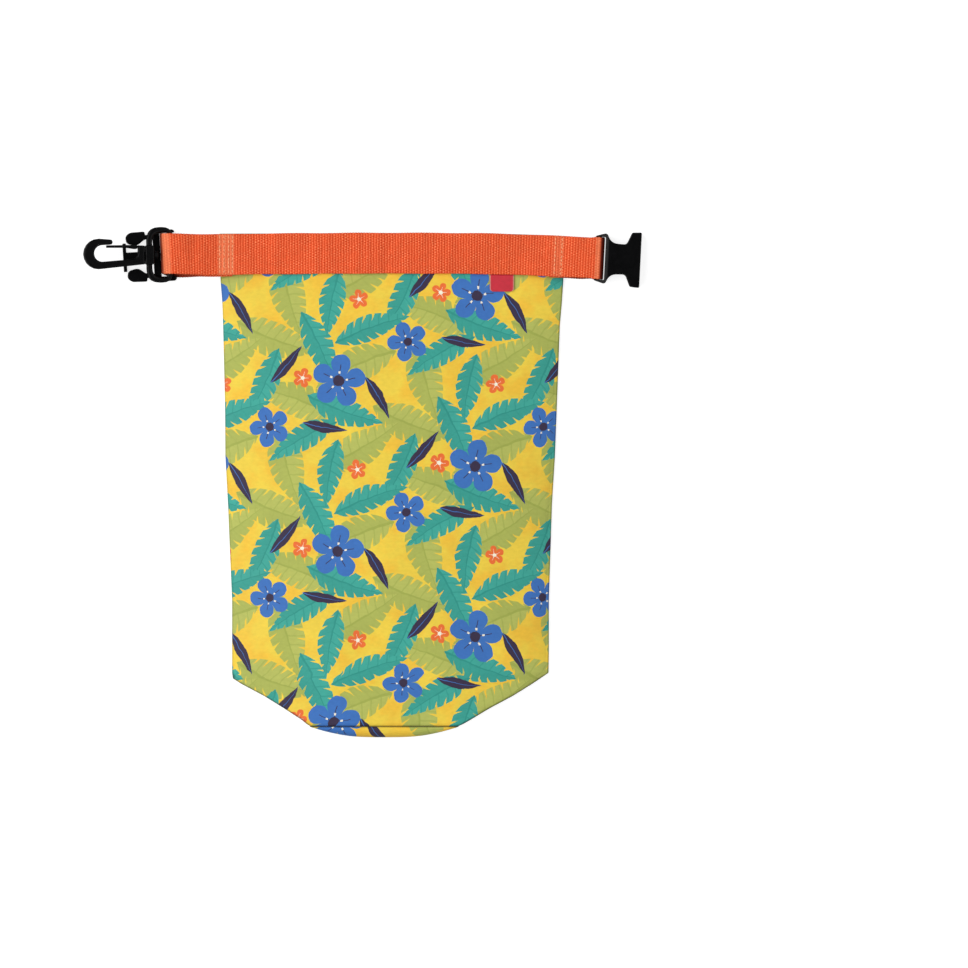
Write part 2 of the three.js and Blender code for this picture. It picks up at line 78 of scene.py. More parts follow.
class Tone(Enum):
    """Dyes and inks, as red, green and blue out of 255."""

    YELLOW = (238, 206, 68)
    AMBER = (241, 188, 54)
    TEAL = (60, 165, 150)
    DEEP_TEAL = (44, 146, 134)
    OLIVE = (180, 186, 92)
    DEEP_OLIVE = (160, 170, 78)
    BLUE = (58, 112, 186)
    NAVY = (53, 42, 68)
    ORANGE = (235, 110, 50)
    CREAM = (246, 238, 214)
    # painted light of the webbing's weave: lit crests, shaded valleys and a highlight on the highest crests
    WEB_LIT_CREST = (252, 110, 66)
    WEB_SHADED_VALLEY = (200, 54, 12)
    WEB_HIGHLIGHT = (255, 172, 122)
    # painted shade of the webbing in its end folds and behind its loops
    WEB_FOLD_SHADE = (84, 16, 6)
    # paler tone of the sewn bands, and the painted highlight where the webbing passes over the bars
    WEB_SEWN_AND_LIT = (246, 158, 112)
    THREAD = (255, 180, 132)
    LINING = (236, 231, 214)
    RED = (201, 50, 65)
    PALE_RED = (208, 140, 126)
    BLACK = (6, 6, 7)
    # black paler at sharp edges: partly wear, partly a painted edge highlight
    WORN_AND_HIGHLIT_BLACK = (24, 24, 26)
    FLOOR = (180, 180, 180)

    @property
    def colour(self) -> Colour:
        """The tone as a linear colour, by the usual curve for screen colours.

        Returns:
            Red, green and blue from 0 to 1, and full opacity.
        """
        share = np.array(self.value) / 255
        red, green, blue = np.where(share > 0.04045, ((share + 0.055) / 1.055) ** 2.4, share / 12.92)
        return float(red), float(green), float(blue), 1.0


Feed = Union[float, Socket, Tone, tuple[float, float, float]]
Inputs = dict[Union[str, int], Feed]


class Body(Enum):
    """The rigid bodies that pieces move with."""

    BAG = "bag"
    HOOK = "hook"
    GATE = "gate"


class Slot(Enum):
    """The record's material slots."""

    CLOTH = "printed_cloth"
    WEBBING = "webbing"
    LABEL = "red_label"
    PLASTIC = "black_plastic"


@dataclass(frozen=True)
class DrawingAxes:
    """Where the drawing axes start in the shared frame, in millimetres.

    Attributes:
        x: The bag's middle line.
        y: The strap's middle line.
    """

    x: float
    y: float

    def to_frame(self, points: Array) -> Array:
        """Moves drawn points, in millimetres, into the shared frame, in metres."""
        return (points + np.array([self.x, self.y, 0.0])) * MM


# Meshes


@dataclass
class Surface:
    """A surface as arrays, in drawn millimetres.

    Attributes:
        points: The vertices, one row each.
        faces: Arrays of corner numbers, one array for each number of corners.
        uv: For each array of faces, the flat place of each corner in metres, or None.
        finish: For each array of faces, the number of each face's finish, or None.
        marks: Named values, one for each vertex.
    """

    points: Array
    faces: list[Array]
    uv: Optional[list[Array]] = None
    finish: Optional[list[Array]] = None
    marks: Optional[dict[str, Array]] = None

    def volume(self) -> float:
        """Sums the tetrahedra from the origin to each face's fan, positive where faces look out.

        Returns:
            Six times the volume.
        """
        total = 0.0
        for corners in self.faces:
            first = self.points[corners[:, 0]]
            for i in range(1, corners.shape[1] - 1):
                fan = np.cross(self.points[corners[:, i]], self.points[corners[:, i + 1]])
                total += float((first * fan).sum())
        return total

    def turned_out(self) -> Surface:
        """Turns the faces to look outward, by the sign of the volume.

        Returns:
            This surface where they do so already, or else a turned one.
        """
        if self.volume() >= 0:
            return self
        faces = [corners[:, ::-1] for corners in self.faces]
        uv = self.uv and [places[:, ::-1] for places in self.uv]
        return Surface(self.points, faces, uv, self.finish, self.marks)


def grid_quads(rows: int, columns: int, ring_rows: bool, ring_columns: bool) -> Array:
    """Corner numbers of a grid's quads, where a ring direction joins its last line to its first.

    Args:
        rows: Number of rows of points.
        columns: Number of points in a row.
        ring_rows: Whether the last row joins the first.
        ring_columns: Whether the last column joins the first.

    Returns:
        An array of four corner numbers for each quad.
    """
    row = np.arange(rows if ring_rows else rows - 1)[:, None]
    column = np.arange(columns if ring_columns else columns - 1)[None, :]
    below, beside = (row + 1) % rows, (column + 1) % columns
    corners = [(row, column), (row, beside), (below, beside), (below, column)]
    return np.stack([r * columns + c for r, c in corners], axis=-1).reshape(-1, 4)


def corner_places(grid: Array) -> Array:
    """Flat places of the four corners of each cell of a grid, in the order of grid_quads.

    Args:
        grid: Places with one more row and column than there are cells, and two numbers each.

    Returns:
        An array of four places for each cell.
    """
    corners = [grid[:-1, :-1], grid[:-1, 1:], grid[1:, 1:], grid[1:, :-1]]
    return np.stack(corners, axis=-2).reshape(-1, 4, 2)


def capped_tube(rings: Array, flat: Array, marks: dict[str, Array]) -> Surface:
    """A tube through rings of points, closed at both ends by one flat face.

    Args:
        rings: Points with rows along the tube and columns round it.
        flat: Flat places of the points in metres, with the first column once more at the end.
        marks: Named values for the points.

    Returns:
        The closed surface.
    """
    rows, columns = rings.shape[:2]
    ends = np.arange(columns)
    caps = np.stack([ends[::-1], (rows - 1) * columns + ends])
    places = [corner_places(flat), np.stack([flat[0, :-1][::-1], flat[-1, :-1]])]
    faces = [grid_quads(rows, columns, False, True), caps]
    return Surface(rings.reshape(-1, 3), faces, places, marks=marks)


def smooth_step(value: Array, low: float, high: float) -> Array:
    """Rises from 0 at low to 1 at high, level at both ends."""
    share = np.clip((value - low) / (high - low), 0, 1)
    return share * share * (3 - 2 * share)


def hump(value: Array, low: float, full: float, fall: float, end: float) -> Array:
    """Rises from 0 at low to 1 at full, and sinks from 1 at fall to 0 at the end."""
    return smooth_step(value, low, full) * (1 - smooth_step(value, fall, end))


def cubic(t: Array, start: Array, stop: Array, leave: Array, arrive: Array) -> Array:
    """The cubic from start to stop, as t goes from 0 to 1, with the slopes leave and arrive there.

    Args:
        t: How far along, from 0 to 1.
        start: The value at 0.
        stop: The value at 1.
        leave: The slope at 0.
        arrive: The slope at 1.

    Returns:
        The value at each t.
    """
    ahead = t * t * (3 - 2 * t)
    lean = (t**3 - 2 * t**2 + t) * leave + (t**3 - t**2) * arrive
    return (1 - ahead) * start + ahead * stop + lean


def smooth_through(stops: Array, values: Array, at: Array) -> Array:
    """A cubic in each span, whose slope at a stop is the mean of both sides, level at the ends.

    Args:
        stops: Rising places of the stops.
        values: The value at each stop.
        at: Where the curve is wanted.

    Returns:
        The curve's value at each place.
    """
    rise = np.diff(values) / np.diff(stops)
    slope = np.concatenate([[0], (rise[1:] + rise[:-1]) / 2, [0]])
    span = np.clip(np.searchsorted(stops, at, side="right") - 1, 0, len(stops) - 2)
    width = stops[span + 1] - stops[span]
    t = (at - stops[span]) / width
    return cubic(t, values[span], values[span + 1], width * slope[span], width * slope[span + 1])


def path_through(stops: Array, step: float) -> Array:
    """A centripetal Catmull-Rom curve through stops, cut into equal steps.

    Each span is a cubic, and knots are apart by the square root of the distance between stops.

    Args:
        stops: The points that the curve passes.
        step: The wanted length of a step.

    Returns:
        Points an equal length apart.
    """
    fine = 40  # points of a span before the curve is cut
    ends = np.vstack([2 * stops[0] - stops[1], stops, 2 * stops[-1] - stops[-2]])[:, None]
    before, start, stop, after = ends[:-3], ends[1:-2], ends[2:-1], ends[3:]
    knot = np.sqrt(np.linalg.norm(np.diff(ends, axis=0), axis=-1, keepdims=True))
    first, middle, last = knot[:-2], knot[1:-1], knot[2:]
    leave = (start - before) / first - (stop - before) / (first + middle) + (stop - start) / middle
    arrive = (stop - start) / middle - (after - start) / (middle + last) + (after - stop) / last
    t = np.linspace(0, 1, fine, endpoint=False)[None, :, None]
    curve = cubic(t, start, stop, middle * leave, middle * arrive)
    line = np.vstack([curve.reshape(-1, stops.shape[1]), stops[-1]])
    run = np.concatenate([[0], np.cumsum(np.linalg.norm(np.diff(line, axis=0), axis=1))])
    even = np.linspace(0, run[-1], int(round(run[-1] / step)) + 1)
    return np.stack([np.interp(even, run, line[:, i]) for i in range(stops.shape[1])], axis=1)


def dress(
    piece: Piece, finishes: Sequence[Material], body: Body, solid: Optional[str]
) -> None:
    """Gives a piece its finishes, its body, its slot and the drawn solid that it takes the place of.

    Args:
        piece: The piece.
        finishes: Its materials, in the order of its faces' finish numbers.
        body: The body that it moves with.
        slot: The record's slot for it.
        solid: The drawn solid, or None for a piece that isn't drawn.
    """
    for finish in finishes:
        piece.data.materials.append(finish)
    count = len(piece.data.polygons)
    piece.data.polygons.foreach_set("use_smooth", np.ones(count, bool))
    bpy.context.scene.collection.objects.link(piece)
    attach(piece, body.value)
    if solid:
        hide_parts(solid)
    LOG.info("%s: %d faces on %s", piece.name, count, body.value)


def make_piece(
    name: str,
    surface: Surface,
    axes: DrawingAxes,
    finishes: Sequence[Material],
    solid: Optional[str] = None,
) -> Piece:
    """Makes a dressed piece of the bag from a surface.

    Args:
        name: The piece's name.
        surface: Its surface in drawn millimetres.
        axes: Where the drawing lies in the frame.
        finishes: Its materials, in the order of the surface's finish numbers.
        slot: The record's slot for it.
        solid: The drawn solid that it takes the place of, if any.

    Returns:
        The piece, at the origin of the shared frame.
    """
    out = surface.turned_out()
    mesh = bpy.data.meshes.new(name)
    counts = np.concatenate([np.full(len(f), f.shape[1]) for f in out.faces])
    mesh.vertices.add(len(out.points))
    mesh.vertices.foreach_set("co", axes.to_frame(out.points).astype(np.float32).ravel())
    mesh.loops.add(int(counts.sum()))
    corners = np.concatenate([f.ravel() for f in out.faces])
    mesh.loops.foreach_set("vertex_index", corners.astype(np.int32))
    mesh.polygons.add(len(counts))
    mesh.polygons.foreach_set("loop_start", (np.cumsum(counts) - counts).astype(np.int32))
    mesh.update(calc_edges=True)
    if out.finish:
        mesh.polygons.foreach_set("material_index", np.concatenate(out.finish).astype(np.int32))
    if out.uv:
        layer = mesh.uv_layers.new(name="flat")
        places = np.concatenate([p.reshape(-1, 2) for p in out.uv])
        layer.uv.foreach_set("vector", places.astype(np.float32).ravel())
    for mark, values in (out.marks or {}).items():
        layer = mesh.attributes.new(mark, "FLOAT", "POINT")
        layer.data.foreach_set("value", values.astype(np.float32).ravel())
    mesh.validate()
    piece = bpy.data.objects.new(name, mesh)
    dress(piece, finishes, Body.BAG, solid)
    return piece


# Shader nodes


class Graph:
    """A node tree with short ways to add and join nodes."""

    def __init__(self, tree: Tree) -> None:
        """Keeps the tree that nodes are added to."""
        self.tree = tree

    def node(self, kind: str, inputs: Inputs, **settings: object) -> Sockets:
        """Adds a node.

        Args:
            kind: The node's type.
            inputs: What goes into its sockets, by name or number: a value, a tone or another socket.
            **settings: The node's own properties.

        Returns:
            The new node's outputs.
        """
        node = self.tree.nodes.new(kind)
        for name, value in settings.items():
            setattr(node, name, value)
        for key, value in inputs.items():
            if isinstance(value, Socket):
                self.tree.links.new(value, node.inputs[key])
            else:
                node.inputs[key].default_value = value.colour if isinstance(value, Tone) else value
        return node.outputs

    def math(self, operation: str, first: Feed, second: Feed = 0.0) -> Socket:
        """Adds a calculation with one or two values and returns its result."""
        return self.node("ShaderNodeMath", {0: first, 1: second}, operation=operation)[0]

    def vector(self, operation: str, first: Feed, second: Feed) -> Socket:
        """Adds a calculation with two vectors, or a vector and its scale, and returns its result."""
        key = 3 if operation == "SCALE" else 1
        return self.node("ShaderNodeVectorMath", {0: first, key: second}, operation=operation)[0]

    def mix(self, share: Feed, first: Feed, second: Feed) -> Socket:
        """Mixes two colours by a share and returns the mixture."""
        return self.node("ShaderNodeMix", {0: share, 6: first, 7: second}, data_type="RGBA")[2]

    def span(self, value: Feed, low: float, high: float, to_low: float, to_high: float) -> Socket:
        """Carries a value from one range to another, held at the ends, and returns it."""
        return self.node("ShaderNodeMapRange", {0: value, 1: low, 2: high, 3: to_low, 4: to_high})[0]

    def apart(self, vector: Feed) -> tuple[Socket, Socket]:
        """Returns a vector's X and Y."""
        x, y, _ = self.node("ShaderNodeSeparateXYZ", {0: vector})
        return x, y

    def noise(self, place: Feed, scale: Feed, detail: float) -> Sockets:
        """Adds a soft noise and returns its outputs."""
        return self.node("ShaderNodeTexNoise", {"Vector": place, "Scale": scale, "Detail": detail})

    def group(self, tree: Tree, inputs: Inputs) -> Sockets:
        """Places a node group with its own values and returns its outputs."""
        return self.node("ShaderNodeGroup", inputs, node_tree=tree)


class Kind(Enum):
    """Kinds of sockets on a node group."""

    VALUE = "NodeSocketFloat"
    COLOUR = "NodeSocketColor"
    VECTOR = "NodeSocketVector"

    def of(self, *names: str) -> dict[str, Kind]:
        """A table of sockets of this kind."""
        return dict.fromkeys(names, self)


Fill = Callable[[Graph, Sockets], dict[str, Socket]]


def shared_group(
    name: str, inputs: dict[str, Kind], outputs: dict[str, Kind]
) -> Callable[[Fill], Callable[[], Tree]]:
    """Turns a function that adds nodes into one that returns a node group, built when first asked for.

    Args:
        name: The group's name.
        inputs: Its inputs and their kinds.
        outputs: Its outputs and their kinds.

    Returns:
        A decorator for the function, which gets the group's graph and input sockets and returns a
        socket for each output.
    """

    def decorate(fill: Fill) -> Callable[[], Tree]:
        """Turns one function.

        Args:
            fill: Adds the group's nodes.

        Returns:
            A function that builds the group once and returns it.
        """

        def built() -> Tree:
            """Builds the group, unless it is there already.

            Returns:
                The group.
            """
            if name in bpy.data.node_groups:
                return bpy.data.node_groups[name]
            tree = bpy.data.node_groups.new(name, "ShaderNodeTree")
            for way, sockets in (("INPUT", inputs), ("OUTPUT", outputs)):
                for socket, kind in sockets.items():
                    tree.interface.new_socket(socket, in_out=way, socket_type=kind.value)
            graph = Graph(tree)
            graph.node("NodeGroupOutput", dict(fill(graph, graph.node("NodeGroupInput", {}))))
            return tree

        built.__doc__ = fill.__doc__
        return built

    return decorate


PLACE = Kind.VECTOR.of("Place")
HEIGHT = Kind.VALUE.of("Height")
PAINT = Kind.COLOUR.of("Colour")


@shared_group("crossing threads", PLACE | Kind.VALUE.of("Pitch"), HEIGHT)
def weave_group(graph: Graph, given: Sockets) -> dict[str, Socket]:
    """Crossing threads: the height is the product of two sine waves, one along each flat direction.

    Args:
        graph: The group's graph.
        given: The group's inputs.

    Returns:
        The height, from 0 to 1.
    """
    turns = (graph.math("MULTIPLY", way, math.tau) for way in graph.apart(given["Place"]))
    waves = [graph.math("SINE", graph.math("DIVIDE", turn, given["Pitch"])) for turn in turns]
    return {"Height": graph.span(graph.math("MULTIPLY", *waves), -1, 1, 0, 1)}


WEB_RIB = 1.66  # pitch of the webbing's ribs along the strap, in millimetres
WEB_PIT = 1.61  # pitch of the pits in a valley between two ribs
WEB_DEPTH = 0.16  # depth of its weave
RIB_RISE = 0.28  # how high the ribs stand, as a share of the weave's depth
KNOT_SHARE = 0.6  # how high the knots on a rib are, as a share of the pits between two


@shared_group("ribbed webbing", PLACE, HEIGHT)
def rib_group(graph: Graph, given: Sockets) -> dict[str, Socket]:
    """Ribbed webbing: even ribs across the width, with knots on each rib and pits between two.

    With r the place along in ribs and p the place across in pits, the height is
    0.5 + 0.28 cos(2 pi r) + d (sin(pi r) + 0.6 cos(pi r)) cos(2 pi p), so those of next rows are
    staggered. Their depth d comes from a soft noise, as the yarn is not drawn equally tight everywhere.

    Args:
        graph: The group's graph.
        given: The group's inputs.

    Returns:
        The height, about 0 to 1.
    """
    do = graph.math
    x, y = graph.apart(given["Place"])
    along, across = do("MULTIPLY", x, math.tau / WEB_RIB), do("MULTIPLY", y, math.tau / WEB_PIT)
    ribs = do("MULTIPLY", do("COSINE", along), RIB_RISE)
    half = do("MULTIPLY", along, 0.5)
    rows = do("ADD", do("SINE", half), do("MULTIPLY", do("COSINE", half), KNOT_SHARE))
    pits = do("MULTIPLY", rows, do("COSINE", across))
    depth = graph.span(graph.noise(given["Place"], 0.22, 3.0)[0], 0.36, 0.64, 0.04, 0.34)
    return {"Height": do("ADD", do("ADD", ribs, do("MULTIPLY", pits, depth)), 0.5)}


@shared_group(
    "uneven dye",
    PLACE | PAINT | Kind.VALUE.of("Scale", "Amount", "Roughness"),
    PAINT | Kind.VALUE.of("Roughness"),
)
def mottle_group(graph: Graph, given: Sockets) -> dict[str, Socket]:
    """Uneven dye: a soft noise lightens and darkens a colour and spreads a roughness about its middle.

    Args:
        graph: The group's graph.
        given: The group's inputs.

    Returns:
        The varied colour and roughness.
    """
    noise = graph.noise(given["Place"], given["Scale"], 5.0)[0]
    swing = graph.math("MULTIPLY", graph.span(noise, 0.25, 0.75, -1, 1), given["Amount"])
    varied = graph.vector("SCALE", given["Colour"], graph.math("ADD", swing, 1.0))
    return {"Colour": varied, "Roughness": graph.math("ADD", given["Roughness"], swing)}


REPEAT_ACROSS = 84.0  # the print repeats after this many millimetres across
REPEAT_DOWN = 104.0  # and after this many down, each next column half of it lower
MOTIF = Kind.COLOUR.of("Under", "Ink") | PLACE | Kind.VALUE.of("Middle X", "Middle Y", "Turn")


def nearest_copy(graph: Graph, given: Sockets) -> tuple[Socket, Socket]:
    """The place as seen from the nearest copy of a motif on the print's half-drop repeat.

    Args:
        graph: The group that the nodes go in.
        given: The group's inputs, with those of a motif.

    Returns:
        The distance across and down from that copy's middle.
    """
    do = graph.math
    x, y = graph.apart(given["Place"])
    x, y = do("SUBTRACT", x, given["Middle X"]), do("SUBTRACT", y, given["Middle Y"])
    column = do("ROUND", do("DIVIDE", x, REPEAT_ACROSS))
    y = do("SUBTRACT", y, do("MULTIPLY", column, REPEAT_DOWN / 2))
    row = do("ROUND", do("DIVIDE", y, REPEAT_DOWN))
    x = do("SUBTRACT", x, do("MULTIPLY", column, REPEAT_ACROSS))
    return x, do("SUBTRACT", y, do("MULTIPLY", row, REPEAT_DOWN))


LEAF_TAPER = 0.28  # how much narrower a leaf gets towards its tip
SLIT_SLANT = 0.55  # how far its slits and veins slant
SLIT_WIDTH = 0.62  # how wide a slit opens towards the edge
VEIN_MIDDLE, VEIN_WIDTH, VEIN_SHADE = 0.78, 0.07, 0.6  # a vein's place between slits, width and shade
RIB_WIDTH, RIB_TAPER = 0.05, 0.035  # half the rib's width at the leaf's middle, and how it narrows
HALF_SHADE = 0.45  # how far one half is shaded
LEAST_WIDTH = 0.12  # slits are measured against at least this half width
LEAF = Kind.COLOUR.of("Rib") | Kind.VALUE.of("Half Length", "Half Width", "Bow", "Slits", "Slit Start")


@shared_group("printed leaf", MOTIF | LEAF, PAINT)
def leaf_group(graph: Graph, given: Sockets) -> dict[str, Socket]:
    """Paints one leaf over a colour.

    Along and across the leaf, from -1 to 1, its half width is (1 - along^2)(1 - 0.28 along), and its
    middle line bows by a parabola. Slanting slits open from the edge towards the rib, and a vein runs
    between each two of them. One half is shaded towards the rib's colour.

    Args:
        graph: The group's graph.
        given: The group's inputs.

    Returns:
        The painted colour.
    """
    do = graph.math
    x, y = nearest_copy(graph, given)
    cosine, sine = do("COSINE", given["Turn"]), do("SINE", given["Turn"])
    along = do("ADD", do("MULTIPLY", x, cosine), do("MULTIPLY", y, sine))
    along = do("MAXIMUM", do("MINIMUM", do("DIVIDE", along, given["Half Length"]), 1.0), -1.0)
    across = do("SUBTRACT", do("MULTIPLY", y, cosine), do("MULTIPLY", x, sine))
    square = do("MULTIPLY", along, along)
    bow = do("MULTIPLY", given["Bow"], do("SUBTRACT", square, 0.5))
    side = do("ADD", do("DIVIDE", across, given["Half Width"]), bow)
    aside = do("ABSOLUTE", side)
    taper = do("SUBTRACT", 1.0, do("MULTIPLY", along, LEAF_TAPER))
    width = do("MULTIPLY", do("SUBTRACT", 1.0, square), taper)
    comb = do("SUBTRACT", do("MULTIPLY", along, given["Slits"]), do("MULTIPLY", aside, SLIT_SLANT))
    tooth = do("FRACT", comb)
    opening = do("SUBTRACT", do("DIVIDE", aside, do("MAXIMUM", width, LEAST_WIDTH)), given["Slit Start"])
    slit = do("LESS_THAN", tooth, do("MULTIPLY", opening, SLIT_WIDTH))
    leaf = do("MULTIPLY", do("LESS_THAN", aside, width), do("SUBTRACT", 1.0, slit))
    slitted = do("LESS_THAN", given["Slit Start"], 1.0)
    vein = do("LESS_THAN", do("ABSOLUTE", do("SUBTRACT", tooth, VEIN_MIDDLE)), VEIN_WIDTH)
    rib_width = do("SUBTRACT", RIB_WIDTH, do("MULTIPLY", along, RIB_TAPER))
    rib = do("LESS_THAN", aside, rib_width)
    lines = do("MAXIMUM", rib, do("MULTIPLY", do("MULTIPLY", vein, slitted), VEIN_SHADE))
    half = do("MULTIPLY", do("GREATER_THAN", side, 0.0), slitted)
    shade = do("MAXIMUM", lines, do("MULTIPLY", half, HALF_SHADE))
    return {"Colour": graph.mix(leaf, given["Under"], graph.mix(shade, given["Ink"], given["Rib"]))}


STREAK_WIDTH, STREAK_END = 0.035, 0.62  # of a petal's streak, as shares of the blossom's radius
HEART_RADIUS = 0.2
DOT_MIDDLE, DOT_SIZE, DOT_SPREAD = 0.3, 0.045, 0.28  # how far out a dot is, half its length and its width


@shared_group("printed blossom", MOTIF | Kind.COLOUR.of("Heart", "Dot") | Kind.VALUE.of("Radius"), PAINT)
def blossom_group(graph: Graph, given: Sockets) -> dict[str, Socket]:
    """Paints one five-petalled blossom over a colour.

    Round the blossom its radius is 0.36 + 0.64 |cos(2.5 angle)|^0.45, with a round heart, a streak
    along the middle of each petal and a pale dot on each streak.

    Args:
        graph: The group's graph.
        given: The group's inputs.

    Returns:
        The painted colour.
    """
    do = graph.math
    x, y = nearest_copy(graph, given)
    square = do("ADD", do("MULTIPLY", x, x), do("MULTIPLY", y, y))
    out = do("DIVIDE", do("SQRT", square), given["Radius"])
    turn = do("MULTIPLY", do("ADD", do("ARCTAN2", y, x), given["Turn"]), 2.5)
    swell = do("POWER", do("ABSOLUTE", do("COSINE", turn)), 0.45)
    petals = do("LESS_THAN", out, do("ADD", do("MULTIPLY", swell, 0.64), 0.36))
    aside = do("ABSOLUTE", do("SINE", turn))
    streak = do("LESS_THAN", do("MULTIPLY", aside, out), STREAK_WIDTH)
    streak = do("MULTIPLY", do("MULTIPLY", streak, petals), do("LESS_THAN", out, STREAK_END))
    heart = do("MAXIMUM", streak, do("LESS_THAN", out, HEART_RADIUS))
    dot = do("LESS_THAN", do("ABSOLUTE", do("SUBTRACT", out, DOT_MIDDLE)), DOT_SIZE)
    dot = do("MULTIPLY", dot, do("LESS_THAN", aside, DOT_SPREAD))
    painted = graph.mix(heart, graph.mix(petals, given["Under"], given["Ink"]), given["Heart"])
    return {"Colour": graph.mix(dot, painted, given["Dot"])}


# Finishes


class Leaf(NamedTuple):
    """A leaf of the print, in millimetres and degrees, on one repeat."""

    x: float
    y: float
    turn: float
    half_length: float
    half_width: float
    bow: float
    slits: float
    ink: Tone
    rib: Tone

    def paint(self) -> tuple[Tree, Inputs]:
        """Returns the node group that paints it, and the values that are its own."""
        whole_edge = 9.0  # a slit that would start this far out never opens
        return leaf_group(), {
            "Half Length": self.half_length,
            "Half Width": self.half_width,
            "Bow": self.bow,
            "Slits": self.slits,
            "Slit Start": 0.5 if self.slits else whole_edge,
            "Rib": self.rib,
        }


class Blossom(NamedTuple):
    """A blossom of the print, in millimetres and degrees, on one repeat."""

    x: float
    y: float
    turn: float
    radius: float
    ink: Tone
    heart: Tone

    def paint(self) -> tuple[Tree, Inputs]:
        """Returns the node group that paints it, and the values that are its own."""
        return blossom_group(), {"Radius": self.radius, "Heart": self.heart, "Dot": Tone.CREAM}


MOTIFS = (
    Leaf(14, 12, 20, 27, 10.6, 0.25, 4.5, Tone.OLIVE, Tone.DEEP_OLIVE),
    Leaf(62, 30, 155, 27, 10.6, 0.25, 4.5, Tone.OLIVE, Tone.DEEP_OLIVE),
    Leaf(26, 50, 200, 27, 10.4, 0.20, 4.5, Tone.OLIVE, Tone.DEEP_OLIVE),
    Leaf(66, 78, -30, 27, 10.6, 0.20, 4.5, Tone.OLIVE, Tone.DEEP_OLIVE),
    Leaf(22, 90, 75, 27, 10.6, 0.20, 4.5, Tone.OLIVE, Tone.DEEP_OLIVE),
    Leaf(40, 18, 65, 25, 8.4, -0.20, 4.0, Tone.TEAL, Tone.DEEP_TEAL),
    Leaf(6, 40, 115, 24, 7.8, -0.20, 4.0, Tone.TEAL, Tone.DEEP_TEAL),
    Leaf(56, 56, 20, 25, 8.6, 0.20, 4.0, Tone.TEAL, Tone.DEEP_TEAL),
    Leaf(30, 74, 150, 24, 7.8, 0.25, 4.0, Tone.TEAL, Tone.DEEP_TEAL),
    Leaf(72, 6, -20, 24, 7.8, -0.25, 4.0, Tone.TEAL, Tone.DEEP_TEAL),
    Leaf(48, 94, 100, 21, 7.8, 0.20, 3.5, Tone.TEAL, Tone.DEEP_TEAL),
    Leaf(20, 28, -50, 15, 3.2, 0.30, 0.0, Tone.NAVY, Tone.BLUE),
    Leaf(76, 48, 60, 15, 3.2, -0.30, 0.0, Tone.NAVY, Tone.BLUE),
    Leaf(44, 66, 10, 14, 3.0, 0.30, 0.0, Tone.NAVY, Tone.BLUE),
    Blossom(52, 38, 10, 16.5, Tone.BLUE, Tone.NAVY),
    Blossom(10, 66, 40, 12.5, Tone.BLUE, Tone.NAVY),
    Blossom(30, 36, 0, 6.0, Tone.ORANGE, Tone.CREAM),
    Blossom(64, 92, 30, 6.0, Tone.ORANGE, Tone.CREAM),
)


class Finish(Graph):
    """A new material's graph, with the ways to colour its shader that the finishes share."""

    def __init__(self, name: str, **plain: float) -> None:
        """Starts the material.

        Args:
            name: Its name.
            **plain: Values that are the same all over, for the shader's own sockets.
        """
        self.material = bpy.data.materials.new(name)
        self.material.use_nodes = True
        super().__init__(self.material.node_tree)
        self.shader = self.tree.nodes["Principled BSDF"]
        names = {"sheen": "Sheen Weight", "specular": "Specular IOR Level", "glow": "Emission Strength"}
        for key, value in plain.items():
            self.shader.inputs[names[key]].default_value = value

    def lead(self, source: Socket, socket: str) -> None:
        """Leads what changes over the surface into the shader."""
        self.tree.links.new(source, self.shader.inputs[socket])

    def place(self) -> Socket:
        """The place on the piece, in metres."""
        return self.node("ShaderNodeTexCoord", {})["Object"]

    def flat(self) -> Socket:
        """The piece's own flat place, in millimetres."""
        return self.vector("SCALE", self.node("ShaderNodeUVMap", {}, uv_map="flat")[0], 1 / MM)

    def mark(self, name: str) -> Socket:
        """The piece's own value of that name."""
        return self.node("ShaderNodeAttribute", {}, attribute_name=name)["Fac"]

    def strayed(self, place: Socket, scale: float, reach: float) -> Socket:
        """A place moved about by a soft noise, so that what is drawn there looks made by hand.

        Args:
            place: The even place.
            scale: The noise's scale, for each unit of the place.
            reach: How far apart the noise can move two places.

        Returns:
            The moved place.
        """
        noise = self.noise(place, scale, 2.0)["Color"]
        swing = self.vector("SUBTRACT", noise, (0.5, 0.5, 0.5))
        return self.vector("ADD", place, self.vector("SCALE", swing, 2 * reach))

    def mottled(self, place: Socket, colour: Feed, scale: float, amount: float) -> Socket:
        """A colour that a noise lightens and darkens.

        Args:
            place: The place that the noise is read at.
            colour: The even colour.
            scale: The noise's scale, for each unit of the place.
            amount: How far the colour swings.

        Returns:
            The uneven colour.
        """
        inputs = {"Place": place, "Scale": scale, "Amount": amount, "Colour": colour}
        return self.group(mottle_group(), inputs)["Colour"]

    def dye(self, colour: Feed, rough: float, scale: float, amount: float) -> None:
        """Colours the shader unevenly.

        Args:
            colour: The even colour.
            rough: The middle roughness.
            scale: The noise's scale, for each metre.
            amount: How far the colour and roughness swing.
        """
        inputs = {"Scale": scale, "Amount": amount, "Colour": colour, "Roughness": rough}
        uneven = self.group(mottle_group(), inputs | {"Place": self.place()})
        self.lead(uneven["Colour"], "Base Color")
        self.lead(uneven["Roughness"], "Roughness")

    def relief(self, height: Feed, depth: float, strength: float) -> None:
        """Gives the shader fine relief.

        Args:
            height: The height, from 0 to 1.
            depth: The relief's depth in millimetres.
            strength: How strongly it tilts the surface.
        """
        inputs = {"Strength": strength, "Distance": depth * MM, "Height": height}
        self.lead(self.node("ShaderNodeBump", inputs)[0], "Normal")

    def weave(self, pitch: float, depth: float, strength: float) -> None:
        """Gives the shader the relief of crossing threads.

        Args:
            pitch: Pitch of the threads in millimetres.
            depth: The relief's depth in millimetres.
            strength: How strongly it tilts the surface.
        """
        inputs = {"Place": self.flat(), "Pitch": pitch}
        self.relief(self.group(weave_group(), inputs)["Height"], depth, strength)


